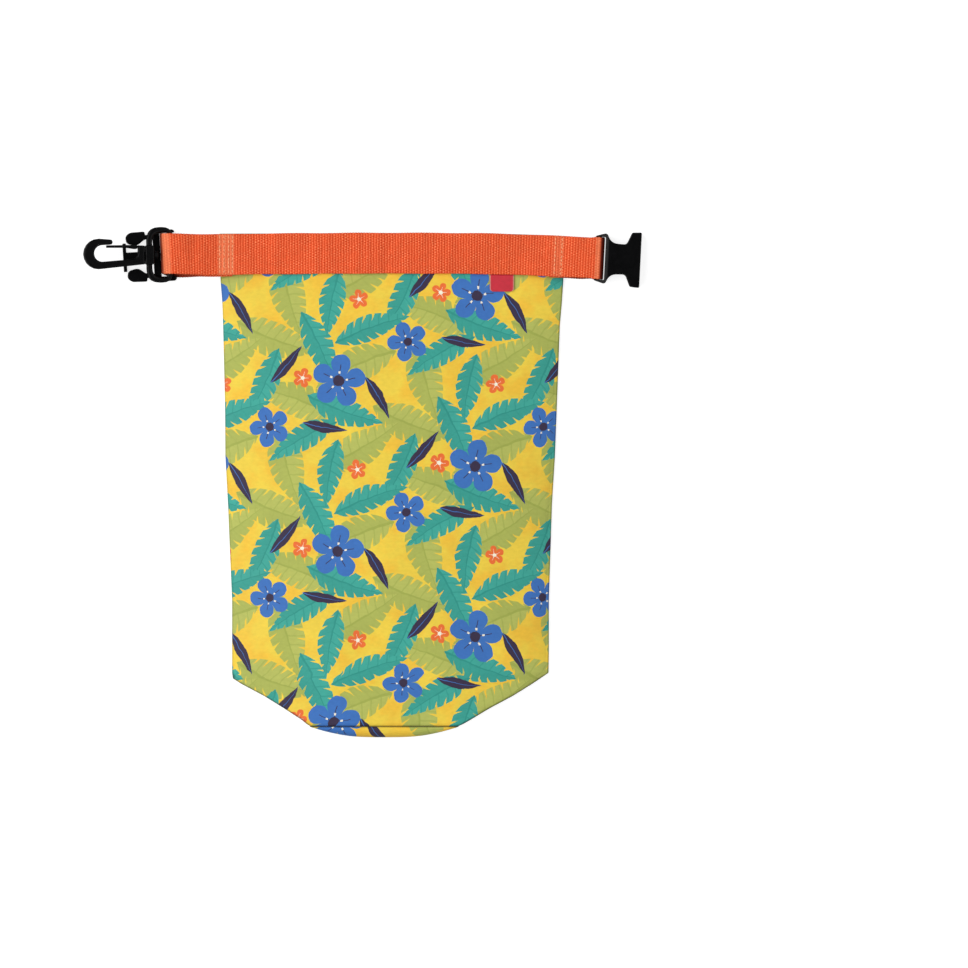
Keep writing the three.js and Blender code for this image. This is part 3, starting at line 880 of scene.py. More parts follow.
@dataclass(frozen=True)
class PrintedCloth:
    """Coated cloth with a leaf and blossom print.

    Attributes:
        thread: Pitch of its threads in millimetres.
        roughness: Middle roughness of the coating.
        wander: How far the print's outlines stray from their drawing, in millimetres.
        crease_shade: Share of the colour that is left in a sharp crease.
    """

    thread: float = 0.52
    roughness: float = 0.62
    wander: float = 0.9
    painted_shade_share: float = 0.3

    def material(self) -> Material:
        """Paints leaves, then blossoms, by hand over yellow, and darkens the creases.

        Returns:
            The finish.
        """
        finish = Finish("printed cloth", sheen=0.05, specular=0.3)
        even = finish.flat()
        place = finish.strayed(even, scale=0.16, reach=self.wander)
        share = finish.span(finish.noise(even, 0.06, 4.0)[0], 0.42, 0.62, 0.0, 0.8)
        colour = finish.mix(share, Tone.YELLOW, Tone.AMBER)
        for motif in MOTIFS:
            group, own = motif.paint()
            middle = {"Middle X": motif.x, "Middle Y": motif.y, "Turn": math.radians(motif.turn)}
            under = {"Under": colour, "Place": place, "Ink": motif.ink}
            colour = finish.group(group, under | middle | own)["Colour"]
        drawn = finish.vector("MULTIPLY", even, (0.7, 1.2, 1.0))
        colour = finish.mottled(drawn, colour, scale=0.5, amount=0.05)
        # Painted shade: the colour darkens along the side creases, the tucks and the base seam
        shade = finish.span(finish.mark("painted_shade"), 0.0, 1.0, 1.0, self.painted_shade_share)
        colour = finish.vector("SCALE", colour, shade)
        finish.dye(colour, self.roughness, scale=60.0, amount=0.05)
        finish.weave(self.thread, depth=0.03, strength=0.5)
        return finish.material


@dataclass(frozen=True)
class CoatedLining:
    """The pale waterproof coating inside the bag.

    Attributes:
        thread: Pitch of the threads that show through, in millimetres.
        roughness: Middle roughness of the coating.
    """

    thread: float = 0.52
    roughness: float = 0.42

    def material(self) -> Material:
        """Lays a pale, slightly uneven coating over fine threads.

        Returns:
            The finish.
        """
        finish = Finish("coated lining")
        finish.dye(Tone.LINING, self.roughness, scale=45.0, amount=0.06)
        finish.weave(self.thread, depth=0.02, strength=0.4)
        return finish.material


@dataclass(frozen=True)
class WovenWebbing:
    """Orange webbing with ribs across its width.

    Attributes:
        roughness: Middle roughness of the yarn.
        wander: How far the yarns stray from an even weave, in millimetres.
        sewn_share: How far the sewn bands turn to their paler tone.
        banding: How far the dye swings from rib to rib.
    """

    roughness: float = 0.72
    wander: float = 0.5
    sewn_and_lit_share: float = 0.27
    banding: float = 0.14

    def material(self) -> Material:
        """Gives the yarn light ribs and dark pits, paler where it is sewn and deep in tight folds.

        Returns:
            The finish.
        """
        finish = Finish("orange webbing", sheen=0.02, specular=0.1)
        place = finish.strayed(finish.flat(), scale=0.35, reach=self.wander)
        height = finish.group(rib_group(), {"Place": place})["Height"]
        # Painted light: the colour runs from shaded valleys to lit crests, with a painted highlight on the
        # highest crests
        colour = finish.mix(height, Tone.WEB_SHADED_VALLEY, Tone.WEB_LIT_CREST)
        colour = finish.mix(finish.span(height, 0.7, 1.0, 0.0, 0.75), colour, Tone.WEB_HIGHLIGHT)
        drawn = finish.vector("MULTIPLY", place, (1.0, 0.12, 1.0))
        colour = finish.mottled(drawn, colour, scale=0.16, amount=self.banding)
        # Paler in the sewn bands, and a painted highlight where the webbing passes over the bars
        sewn_and_lit = finish.math("MULTIPLY", finish.mark("sewn_and_lit"), self.sewn_and_lit_share)
        colour = finish.mix(sewn_and_lit, colour, Tone.WEB_SEWN_AND_LIT)
        # Painted shade: the end folds and the tails behind the loops are darkened
        colour = finish.mix(finish.mark("painted_fold_shade"), colour, Tone.WEB_FOLD_SHADE)
        finish.dye(colour, self.roughness, scale=420.0, amount=0.07)
        finish.relief(height, depth=WEB_DEPTH, strength=0.5)
        return finish.material


@dataclass(frozen=True)
class SewingThread:
    """Pale thread of twisted yarn.

    Attributes:
        roughness: Middle roughness of the yarn.
        twist: Pitch of the twist in millimetres.
    """

    roughness: float = 0.6
    twist: float = 0.45

    def material(self) -> Material:
        """Winds slanting bands of twisted yarn: the height is a sine wave of X plus Y.

        Returns:
            The finish.
        """
        finish = Finish("sewing thread")
        finish.dye(Tone.THREAD, self.roughness, scale=900.0, amount=0.1)
        slant = finish.math("ADD", *finish.apart(finish.place()))
        turn = finish.math("MULTIPLY", slant, math.tau / (self.twist * MM))
        height = finish.span(finish.math("SINE", turn), -1, 1, 0, 1)
        finish.relief(height, depth=0.04, strength=0.6)
        return finish.material


@dataclass(frozen=True)
class LabelCloth:
    """Red woven tape with pale selvedges.

    Attributes:
        thread: Pitch of its threads in millimetres.
        roughness: Middle roughness of the threads.
    """

    thread: float = 0.55
    roughness: float = 0.66

    def material(self) -> Material:
        """Weaves red threads with a pale rim at the sides.

        Returns:
            The finish.
        """
        finish = Finish("red label cloth", sheen=0.02, specular=0.2)
        colour = finish.mix(finish.mark("rim"), Tone.RED, Tone.PALE_RED)
        finish.dye(colour, self.roughness, scale=420.0, amount=0.08)
        finish.weave(self.thread, depth=0.06, strength=0.8)
        return finish.material


@dataclass(frozen=True)
class MouldedPlastic:
    """Black moulded plastic with a fine grain, rubbed brighter along its edges.

    Attributes:
        grain: Size of the grain in millimetres.
        roughness: Middle roughness.
    """

    grain: float = 0.35
    roughness: float = 0.3

    def material(self) -> Material:
        """Grains the black, which is worn paler where the surface is sharply convex.

        Returns:
            The finish.
        """
        finish = Finish("black plastic", specular=0.12)
        # Paler on sharp convex edges: partly wear, partly a painted edge highlight
        edge = finish.node("ShaderNodeNewGeometry", {})["Pointiness"]
        colour = finish.mix(finish.span(edge, 0.53, 0.62, 0.0, 1.0), Tone.BLACK, Tone.WORN_AND_HIGHLIT_BLACK)
        finish.dye(colour, self.roughness, scale=350.0, amount=0.05)
        height = finish.noise(finish.place(), 1 / (self.grain * MM), 2.0)[0]
        finish.relief(height, depth=0.02, strength=0.35)
        return finish.material


@dataclass(frozen=True)
class FloorPaint:
    """Plain pale floor, lit from below like a light table.

    Attributes:
        roughness: Middle roughness.
        glow: How brightly it is lit from below.
    """

    roughness: float = 0.9
    glow: float = 0.78

    def material(self) -> Material:
        """Lays an almost even pale matt sheet that glows without lighting the bag.

        Returns:
            The finish.
        """
        finish = Finish("pale floor", specular=0.0, glow=self.glow)
        finish.dye(Tone.FLOOR, self.roughness, scale=3.0, amount=0.003)
        finish.lead(finish.node("ShaderNodeLightPath", {})["Is Camera Ray"], "Emission Color")
        return finish.material


# The bag's cloth


@dataclass(frozen=True)
class Droop:
    """How the strap's right end, and the mouth with it, hangs down: its slope grows evenly.

    Attributes:
        start: Where the droop starts.
        full: Where it reaches its full slope.
        slope: That slope.
        fade: How far down it fades out in the cloth.
    """

    start: float = 44.0
    full: float = 106.0
    slope: float = 0.05
    fade: float = 70.0

    def slope_at(self, x: Array) -> Array:
        """The slope at x."""
        return self.slope * (np.clip(x, self.start, self.full) - self.start) / (self.full - self.start)

    def drop_at(self, x: Array) -> Array:
        """How far the middle of the strap has dropped at x."""
        run = np.clip(x, self.start, self.full) - self.start
        return self.slope_at(x) * run / 2 + self.slope * np.maximum(0, x - self.full)


class Section(NamedTuple):
    """A cross section of the bag: its reach to both sides, its heights and the depth of its side tuck."""

    down: float
    left: float
    right: float
    loft: float
    edge: float
    tuck: float


class Fold(NamedTuple):
    """A soft ridge or valley of the front: middle, direction in degrees, half sizes and height."""

    x: float
    down: float
    turn: float
    length: float
    width: float
    height: float


SECTIONS = (
    Section(0.0, 105.2, 105.8, 9.2, 3.2, 0.0),
    Section(28.0, 104.3, 104.9, 9.2, 3.2, 0.0),
    Section(42.0, 103.2, 104.0, 10.4, 3.2, 0.0),
    Section(56.0, 102.7, 102.8, 11.9, 3.2, 0.0),
    Section(105.0, 101.5, 101.0, 15.4, 3.2, 0.0),
    Section(136.0, 101.3, 99.8, 16.4, 3.2, 0.0),
    Section(165.0, 99.7, 98.0, 16.9, 3.2, 0.0),
    Section(224.0, 97.2, 96.1, 16.6, 3.2, 0.0),
    Section(255.0, 97.2, 96.1, 15.8, 3.2, 0.0),
    Section(268.0, 97.2, 95.9, 15.4, 3.4, 0.0),
    Section(271.5, 96.7, 90.8, 15.3, 4.0, 0.2),
    Section(275.0, 91.0, 85.5, 15.1, 5.4, 1.2),
    Section(282.0, 77.7, 74.2, 14.8, 8.0, 3.4),
    Section(289.5, 65.5, 60.1, 14.4, 10.6, 5.4),
    Section(296.8, 54.3, 47.9, 13.9, 12.4, 6.6),
    Section(300.6, 49.9, 41.3, 13.6, 13.0, 7.0),
)
FOLDS = (
    Fold(-74, 246, 52, 34, 11, 1.3),
    Fold(72, 244, -50, 32, 11, 1.2),
    Fold(-34, 262, 78, 30, 13, 0.9),
    Fold(30, 260, -74, 28, 13, 0.8),
    Fold(-70, 78, -62, 36, 13, 0.8),
    Fold(58, 84, 66, 38, 14, -0.8),
    Fold(-82, 232, 40, 26, 3.2, 0.35),
    Fold(80, 236, -42, 24, 3.0, 0.35),
    Fold(-58, 258, 62, 22, 2.8, 0.30),
    Fold(52, 262, -60, 22, 2.8, 0.30),
    Fold(-86, 60, -70, 24, 3.0, 0.30),
    Fold(84, 66, 72, 26, 3.2, 0.30),
    Fold(6, 150, 8, 60, 4.0, -0.22),
    Fold(-20, 206, -6, 55, 4.0, 0.20),
)


def steps_down(*spans: tuple[float, float, int]) -> Array:
    """Places down the bag: in each span from one place to another, so many of them."""
    return np.concatenate([np.linspace(*span) for span in spans])


@dataclass
class BagCloth:
    """The bag's body and base panel: a flattened tube of cloth, open at the mouth.

    Attributes:
        cloth: Thickness of the cloth.
        hem_wall: Thickness of the turned hem at the mouth.
        hem_end: Between which places the hem thins out to the cloth inside.
        mouth: Y of the mouth edge.
        puff: Fullness of the front: below 1 is rounder than a parabola.
        seam_gap: Gap between the body and the base panel.
        seam_dip: How far both pull in at the base seam.
        dip_reach: How far above the base seam the body starts to pull in.
        dip_out: How far out from its seam the base panel still pulls in.
        bulge: How far the base panel rounds out past its seam.
        squareness: Fullness of the base panel's ends: above 2 is squarer than a parabola.
        ripple: Height of the slight unevenness of the front.
        fold_reach: How far down the folds start, are full, fade and end.
        side_crease: How dark the crease of a side is above the tucks.
        tucked: Between which places the sides' creases get as dark as the tucks'.
        crease_edge: Between which distances from a side its crease fades.
        seam_line: How far above the base seam its dark line starts and is full.
        base_line: Between which distances past the seam that line fades on the base panel.
        droop: How the mouth droops.
        back_columns: Steps of the mesh across half the back.
        side_columns: Steps up a side fold.
        front_columns: Steps across the front.
    """

    cloth: float = 0.7
    hem_wall: float = 1.2
    hem_end: tuple[float, float] = (15.2, 17.2)
    mouth: float = 12.5
    puff: float = 0.8
    seam_gap: float = 0.05
    seam_dip: float = 0.7
    dip_reach: float = 2.0
    dip_out: float = 0.9
    bulge: float = 6.6
    squareness: float = 3.2
    ripple: float = 0.1
    fold_reach: tuple[float, float, float, float] = (30.0, 60.0, 275.0, 298.0)
    side_painted_shade: float = 0.35
    tucked: tuple[float, float] = (264.0, 272.0)
    side_shade_fade: tuple[float, float] = (0.2, 1.2)
    seam_shade_reach: tuple[float, float] = (0.9, 0.4)
    base_shade_fade: tuple[float, float] = (0.2, 0.7)
    droop: Droop = Droop()
    back_columns: int = 26
    side_columns: int = 16
    front_columns: int = 170

    @property
    def foot(self) -> float:
        """How far down the base seam is."""
        return SECTIONS[-1].down

    def section(self, down: Array) -> Section:
        """The cross sections at some places: the reach is straight between rows, the heights are smooth.

        Args:
            down: How far down the sections are wanted.

        Returns:
            The sections, as one row of arrays.
        """
        rows = np.array(SECTIONS).T
        left, right = (np.interp(down, rows[0], rows[i]) for i in (1, 2))
        loft, edge, tuck = (smooth_through(rows[0], rows[i], down) for i in (3, 4, 5))
        return Section(down, left, right, loft, edge, np.maximum(tuck, 0))

    def side_inset(self, section: Section, share: Array) -> Array:
        """How far the side fold lies in, at a share of its height, from its outermost point.

        With the rise sin(pi share), it is half the edge times (1 - rise) plus the tuck times rise^6.

        Args:
            section: Cross sections, one in each row.
            share: Shares of the height, in columns.

        Returns:
            The inset at each row and column.
        """

        def depth(s: Array) -> Array:
            """The inset from where an untucked fold would start."""
            rise = np.sin(np.pi * s)
            return section.edge / 2 * (1 - rise) + section.tuck * rise**6

        least = depth(np.linspace(0, 1, 65)[None, :]).min(axis=1, keepdims=True)
        return depth(share) - least

    def fold_height(self, x: Array, down: Array, across: Array) -> Array:
        """The sum of Gaussian ridges and slight waves, faded out at the sides, the strap and the foot.

        Args:
            x: Places across.
            down: How far down each row lies.
            across: The same places from -1 to 1 between the sides.

        Returns:
            The height at each place.
        """
        fade = (1 - across**4) * hump(down, *self.fold_reach)
        table = Fold(*np.array(FOLDS).T[:, :, None, None])
        turn = np.radians(table.turn)
        dx, dy = x[None] - table.x, table.down - down[None]
        along = (dx * np.cos(turn) + dy * np.sin(turn)) / table.length
        aside = (dy * np.cos(turn) - dx * np.sin(turn)) / table.width
        folds = (table.height * np.exp(-(along**2) - aside**2)).sum(axis=0)
        short = np.sin(x / 9.1 + down / 17.3) * np.sin(down / 11.7 - x / 23.9)
        return fade * (folds + self.ripple * (short + np.sin(x / 31.0 - down / 27.0)))

    def front_height(self, x: Array, section: Section) -> Array:
        """Height of the front: the edge, plus a puffed parabola across, plus folds.

        Args:
            x: Places across, with a row for each section.
            section: Cross sections, one in each row.

        Returns:
            The height at each place.
        """
        inset = self.side_inset(section, np.zeros((1, 1)))
        middle = (section.right - section.left) / 2
        reach = (section.right + section.left) / 2 - inset
        across = np.clip((x - middle) / reach, -1, 1)
        puffed = (section.loft - section.edge) * (1 - across**2) ** self.puff
        return section.edge + puffed + self.fold_height(x, section.down, across)

    def front_at(self, x: Array, y: Array) -> Array:
        """Height of the front at drawn places.

        Args:
            x: Drawn X.
            y: Drawn Y.

        Returns:
            The height at each place.
        """
        shape = np.broadcast(x, y).shape
        x, y = (np.broadcast_to(v, shape).reshape(-1, 1).astype(float) for v in (x, y))
        return self.front_height(x, self.section(self.mouth - y)).reshape(shape)

    def rings(self, down: Array) -> tuple[Array, Array]:
        """Rings round the bag, from the back's middle over the right side, front and left side.

        Args:
            down: How far down each ring lies, in one column.

        Returns:
            X and Z, with a row for each ring.
        """
        section = self.section(down)
        counts = self.back_columns, self.side_columns, self.front_columns
        back, side, front = (np.linspace(0, 1, count, endpoint=False)[None, :] for count in counts)
        start = self.side_inset(section, np.zeros((1, 1)))
        low, high = start - section.left, section.right - start
        middle = (low + high) / 2
        spread = (front + (1 - np.cos(np.pi * front)) / 2) / 2
        over = high + (low - high) * spread
        x = [
            middle + (high - middle) * back,
            section.right - self.side_inset(section, side),
            over,
            self.side_inset(section, 1 - side) - section.left,
            low + (middle - low) * back,
        ]
        lift = section.edge * (1 - np.cos(np.pi * side)) / 2
        fall = section.edge * (1 + np.cos(np.pi * side)) / 2
        flat = np.zeros_like(x[0])
        z = [flat, lift, self.front_height(over, section), fall, flat]
        return np.hstack(x), np.hstack(z)

    def body_surface(self) -> Surface:
        """The tube of cloth as rings: up the outside, round the hem, down the inside and round the foot.

        A point is its ring's point, moved inward square to the ring by the row's depth in the cloth, and
        down by the mouth's droop.

        Returns:
            The closed surface, with finish 0 for the printed face and 1 for the lining.
        """
        hem_rows, foot_rows = 9, 2  # rows inside the hem and the foot that still show the print
        roll = np.linspace(0, np.pi, 9)[1:-1]
        half = self.hem_wall / 2
        # Rows lie closer at the hem and the tucks, and closest at the base seam
        outside = steps_down((self.foot, 298.4, 13), (298, 266, 60), (264, 18, 118), (16, half, 10))
        inside = steps_down((half, 15, 7), (15.5, 18, 5), (24, 264, 36), (268, self.foot, 20))
        down = np.concatenate([outside, half - half * np.sin(roll), inside])[:, None]
        wall = self.cloth + (self.hem_wall - self.cloth) * (1 - smooth_step(inside, *self.hem_end))
        depth = np.concatenate([np.zeros(len(outside)), half - half * np.cos(roll), wall])[:, None]
        depth = depth + self.seam_dip * smooth_step(down, self.foot - self.dip_reach, self.foot)
        x, z = self.rings(down)
        ahead = np.stack([np.roll(x, -1, axis=1) - x, np.roll(z, -1, axis=1) - z])
        ahead /= np.linalg.norm(ahead, axis=0)
        tangent = ahead + np.roll(ahead, 1, axis=2)
        tangent /= np.linalg.norm(tangent, axis=0)
        drop = self.droop.drop_at(x) * (1 - smooth_step(down, 0, self.droop.fade))
        points = np.stack([x - tangent[1] * depth, self.mouth - down - drop, z + tangent[0] * depth], -1)
        rows, columns = x.shape
        row = np.arange(rows)
        lined = (row >= len(outside) + len(roll) + hem_rows) & (row < rows - foot_rows)
        return Surface(
            points.reshape(-1, 3),
            [grid_quads(rows, columns, True, True)],
            [self.body_places(x, z, down)],
            [np.repeat(lined.astype(int), columns)],
            {"painted_shade": self.painted_shades(x, down)},
        )

    def painted_shades(self, x: Array, down: Array) -> Array:
        """How sharply the cloth is creased, from 0 to 1: at the base seam, the tucks and the sides.

        Args:
            x: The rings' X.
            down: How far down each ring lies.

        Returns:
            The crease at each point.
        """
        section = self.section(down)
        # Painted shade: darker along the side creases, as dark as at the tucks further down, and along the
        # base seam
        inward = np.minimum(section.right - x, section.left + x)
        tucked = smooth_step(down, *self.tucked)
        dark = self.side_painted_shade + (1 - self.side_painted_shade) * tucked
        sides = dark * (1 - smooth_step(inward / (1 + tucked), *self.side_shade_fade))
        start, full = self.seam_shade_reach
        return np.maximum(sides, smooth_step(down, self.foot - start, self.foot - full))

    def body_places(self, x: Array, z: Array, down: Array) -> Array:
        """Flat places of the body's cloth: the length round the ring from the front's middle, and down.

        Args:
            x: The rings' X.
            z: The rings' Z.
            down: How far down each ring lies.

        Returns:
            The places of each quad's corners, in metres.
        """
        step = np.hypot(np.roll(x, -1, axis=1) - x, np.roll(z, -1, axis=1) - z)
        run = np.hstack([np.zeros_like(down), np.cumsum(step, axis=1)])
        middle = self.back_columns + self.side_columns + self.front_columns // 2
        flat = np.stack([run[:, middle : middle + 1] - run, np.broadcast_to(down, run.shape)], axis=-1)
        return corner_places(np.concatenate([flat, flat[:1]]) * MM)

    def base_surface(self) -> Surface:
        """The base panel: a dome over the tube's lower end.

        With across from -1 to 1 and up from 0 to 1, it stands out by the bulge times
        (1 - |across|^squareness) sin(pi up)^0.8, and its height is a share (1 - cos(pi up)) / 2 of the
        front's.

        Returns:
            The closed surface, with finish 0 outside and 1 inside.
        """
        rows, columns = 49, 151
        up = np.linspace(0, 1, rows)[:, None]
        across = -np.cos(np.pi * np.linspace(0, 1, columns))[None, :]
        section = self.section(np.array([[self.foot]]))
        inset = self.side_inset(section, up.T).T
        seam = self.mouth - self.foot - self.seam_gap

        def dome(wall: float) -> Array:
            """The dome's points, moved in by a wall.

            Args:
                wall: The thickness that they are moved in by.

            Returns:
                The points, in rows up and columns across.
            """
            low, high = inset - section.left + wall, section.right - inset - wall
            x = low + (high - low) * (across + 1) / 2
            full = 1 - np.abs(across) ** self.squareness
            out = (self.bulge - wall) * full * np.sin(np.pi * up) ** 0.8
            top = self.front_height(x, section) - 2 * wall
            rise = (1 - np.cos(np.pi * up)) / 2
            dip = self.seam_dip * np.exp(-((out / self.dip_out) ** 2)) * np.cos(np.pi * up)
            return np.stack([x, seam - out, wall + top * rise + dip * (1 - across**8)], axis=-1)

        outer, inner = dome(0.0), dome(self.cloth)
        # Painted shade along the base seam, fading out on the base panel
        painted_shade = 1 - smooth_step(seam - outer[..., 1], *self.base_shade_fade)
        quads = grid_quads(rows, columns, False, False)
        number = np.arange(rows * columns).reshape(rows, columns)
        ring = np.concatenate([number[0], number[1:, -1], number[-1, -2::-1], number[-2:0:-1, 0]])
        ahead = np.roll(ring, -1)
        rim = np.stack([ahead, ring, ring + number.size, ahead + number.size], axis=1)
        girth = np.cumsum(np.linalg.norm(np.diff(outer, axis=0, prepend=outer[:1]), axis=-1), axis=0)
        flat = np.stack([outer[..., 0], self.foot + girth[-1:] - girth], axis=-1) * MM
        places = corner_places(flat)
        loose = flat.reshape(-1, 2)[np.stack([ahead, ring, ring, ahead], axis=1)]
        return Surface(
            np.concatenate([outer.reshape(-1, 3), inner.reshape(-1, 3)]),
            [np.concatenate([quads, quads[:, ::-1] + number.size, rim])],
            [np.concatenate([places, places[:, ::-1], loose])],
            [np.repeat([0, 1, 0], [len(quads), len(quads), len(rim)])],
            {"painted_shade": np.stack([painted_shade, painted_shade])},
        )

    def build(self, axes: DrawingAxes) -> tuple[Piece, Piece]:
        """Builds and dresses the body and the base panel.

        Args:
            axes: Where the drawing lies in the frame.

        Returns:
            The two pieces.
        """
        finishes = [PrintedCloth().material(), CoatedLining().material()]
        body = make_piece("bag_cloth", self.body_surface(), axes, finishes, "bag_body")
        base = make_piece("base_panel", self.base_surface(), axes, finishes, "bag_base")
        return body, base


# The strap, its stitches and the label


def stitch_rows(starts: Array, ends: Array, thick: float, arch: float) -> Surface:
    """Stitches of thread, each a thin spindle that arches from its start to its end.

    Along a stitch, t from 0 to 1, the middle rises by arch sin(pi t), and the radius is half the
    thickness times sin(pi t)^0.5, kept above a small share at the ends.

    Args:
        starts: Where the stitches start.
        ends: Where they end.
        thick: Thickness of the thread.
        arch: How high a stitch rises over its ends.

    Returns:
        The closed spindles as one surface.
    """
    along, around = 9, 8
    t = np.linspace(0, 1, along)[None, :, None, None]
    angle = (np.arange(around) * math.tau / around)[None, None, :, None]
    run = (ends - starts)[:, None, None, :]
    upward = np.array([0.0, 0.0, 1.0])
    aside = np.cross(run, upward)
    aside = aside / np.linalg.norm(aside, axis=-1, keepdims=True)
    middle = starts[:, None, None, :] + t * run + arch * np.sin(np.pi * t) * upward
    radius = thick / 2 * np.maximum(np.sin(np.pi * t), 0.04) ** 0.5
    points = middle + radius * (np.cos(angle) * aside + np.sin(angle) * upward)
    first = (np.arange(len(starts)) * along * around)[:, None, None]
    quads = (grid_quads(along, around, False, True)[None] + first).reshape(-1, 4)
    ring = np.arange(around)
    caps = (np.stack([ring[::-1], ring + (along - 1) * around])[None] + first).reshape(-1, around)
    return Surface(points.reshape(-1, 3), [quads, caps])


@dataclass
class ClosureStrap:
    """The webbing sewn across the mouth, folded back through the hardware at both ends.

    Attributes:
        cloth: The bag that it is sewn to.
        width: Width of the webbing.
        thick: Thickness of the webbing.
        gap: Clearance between the webbing and the hem.
        tail: Where each folded tail ends.
        askew: How far the left fold lies askew, as a slope.
        askew_end: Between which places the strap gets straight again.
        left_eye: Middle of the left loop, as x and z.
        left_bend: Radius of the left loop.
        right_eye: Middle of the right loop, as x and z.
        right_bend: Radius of the right loop.
        bands: Where paler bands, sewn or stretched over a bar, start and end, and how pale each is.
        band_fade: How far a band fades past its ends.
        seams: Where the rows of stitches cross it.
        tail_shift: How far the left and right tails show below the front layer, and between which
            distances past its loop each one gets there.
        tail_shade: How far past its loop a tail's shade starts, is full, fades and ends.
        left_steep: Between which slopes of the path the left fold gets deep.
        right_steep: The same at the right fold, whose back is in shade.
        depths: How deep the left fold, the right fold and a tail behind its loop are.
        crowding: How much wider the webbing is where it crowds the socket's slot, as a share.
        crowd_reach: How far before the slot the crowding starts and is full.
        curling: How far the front layer's lower edge curls up at the left fold.
        curl_end: Between which places the curl ends.
        curl_fade: How far past the loop it ends on the tail.
        sag: How much lower still the left tail sags between its loop and its sewn end.
        sag_reach: How far past its loop the sag starts, is full, fades and ends.
        wave: The slight wave of the whole strap, as stops of x and y.
        pit_depth: How deep the pits are, as a share of the weave's depth.
        scallop: How far a rib's end stands out at the edges.
        edge_stray: How far the edges stray from a straight line.
        edge_swing: Length along the strap in which they swing by one radian.
        edge_reach: How far in from its edges the webbing follows both.
        pull: How far the sewing pulls the webbing in.
        thread: Thickness of the sewing thread.
        arch: How high a stitch stands up.
        step: Length of a step of the mesh along it.
    """

    cloth: BagCloth
    width: float = 25.0
    thick: float = 1.4
    gap: float = 0.3
    tail: float = 97.0
    askew: float = 0.054
    askew_end: tuple[float, float] = (-130.0, -112.0)
    left_eye: tuple[float, float] = (-135.35, 5.5)
    left_bend: float = 4.75
    right_eye: tuple[float, float] = (126.3, 4.8)
    right_bend: float = 2.8
    # The bands at the two loops are painted highlights over the bars; the middle two are sewn
    bands: tuple[tuple[float, float, float], ...] = (
        (-139.3, -135.0, 1.3),
        (-105.6, -96.2, 1.0),
        (98.8, 104.8, 0.5),
        (124.7, 126.9, 1.2),
    )
    band_fade: float = 0.6
    seams: tuple[float, ...] = (-104.7, -102.0, -99.2, -96.9, 99.7, 103.8)
    tail_shift: tuple[tuple[float, float, float], ...] = ((0.9, 0.0, 6.0), (0.7, 7.0, 16.0))
    tail_shade: tuple[float, float, float, float] = (3.0, 9.0, 16.0, 38.0)
    left_steep: tuple[float, float] = (0.6, 0.95)
    right_steep: tuple[float, float] = (0.16, 0.42)
    fold_shades: tuple[float, float, float] = (0.85, 0.95, 0.7)
    crowding: float = 0.028
    crowd_reach: tuple[float, float] = (4.5, 2.5)
    curling: float = 0.4
    curl_end: tuple[float, float] = (-136.0, -126.0)
    curl_fade: float = 6.0
    sag: float = 0.95
    sag_reach: tuple[float, float, float, float] = (4.0, 12.0, 14.0, 28.0)
    wave: tuple[tuple[float, float], ...] = (
        (-142.0, 0.0),
        (-130.0, 0.0),
        (-114.0, -0.4),
        (-80.0, 0.0),
        (-10.0, 0.42),
        (50.0, 0.25),
        (80.0, 0.0),
        (140.0, 0.0),
    )
    pit_depth: float = 0.18
    scallop: float = 0.09
    edge_stray: float = 0.12
    edge_swing: float = 6.3
    edge_reach: float = 1.5
    pull: float = 0.18
    thread: float = 0.6
    arch: float = 0.22
    step: float = 0.4

    def over_hem(self, x: Array) -> Array:
        """Height of the webbing's middle where it lies on the hem."""
        return self.cloth.front_at(np.asarray(x, float), self.cloth.mouth) + self.gap + self.thick / 2

    def path(self) -> Array:
        """The middle of the webbing, from the left tail over the front to the right tail, as x and z.

        Returns:
            Points an equal length apart.
        """
        half = self.thick / 2
        turn = np.pi * (np.linspace(0, 1, 9) - 0.5)
        circle = np.stack([np.cos(turn), np.sin(turn)], axis=1)
        left = np.array(self.left_eye) + self.left_bend * circle * [-1, 1]
        right = (np.array(self.right_eye) + self.right_bend * circle)[::-1]
        tail, hem = self.tail, self.over_hem
        on_hem = np.array([-66, -52, -36, -18, 0, 18, 36, 52, 66])
        # The left tail, its loop, the front layer down to the hem, on it and off it, and the right side
        stops = [
            [[-tail, hem(-tail) + 0.1], [-104.5, hem(-104.0) + 0.2], [-121, half + 0.8], [-128, half + 0.3]],
            left,
            [[-128, left[-1, 1]], [-116, 8.9], [-104, 7.4], [-84, 7.4]],
            np.stack([on_hem, hem(on_hem)], axis=1),
            [[84, 7.4], [104, 7.3], [116, right[0, 1]]],
            right,
            [[117, right[-1, 1]], [105, hem(105.0) + 0.2], [tail, hem(tail) + 0.1]],
        ]
        return path_through(np.vstack([np.asarray(part, float) for part in stops]), self.step)

    def bend(self, points: Array) -> Array:
        """Moves points of the straight strap to where the drooping strap has them.

        Cross lines turn to stay square to the droop, and lie askew at the left fold. A slight wave goes
        along the whole strap.

        Args:
            points: Points of the straight strap.

        Returns:
            The same points on the drooping strap.
        """
        x, y, z = np.moveaxis(points, -1, 0)
        turn = np.arctan(self.cloth.droop.slope_at(x))
        askew = self.askew * (1 - smooth_step(x, *self.askew_end))
        drop = self.cloth.droop.drop_at(x) - smooth_through(*np.array(self.wave).T, x)
        return np.stack([x + y * (np.sin(turn) - askew), y * np.cos(turn) - drop, z], axis=-1)

    def sewn_and_lit(self, x: Array) -> Array:
        """How pale the webbing is at x: full in each paler band, fading past its ends.

        Args:
            x: Places along the strap.

        Returns:
            The paleness at each place.
        """
        fade = self.band_fade
        pales = [pale * hump(x, low - fade, low, high, high + fade) for low, high, pale in self.bands]
        return np.max(pales, axis=0)

    def front_rows(self, line: Array) -> Array:
        """Which points of the path are on the front run, between the tops of the two loops."""
        place = np.arange(len(line))
        return (place > np.argmin(line[:, 0])) & (place < np.argmax(line[:, 0]))

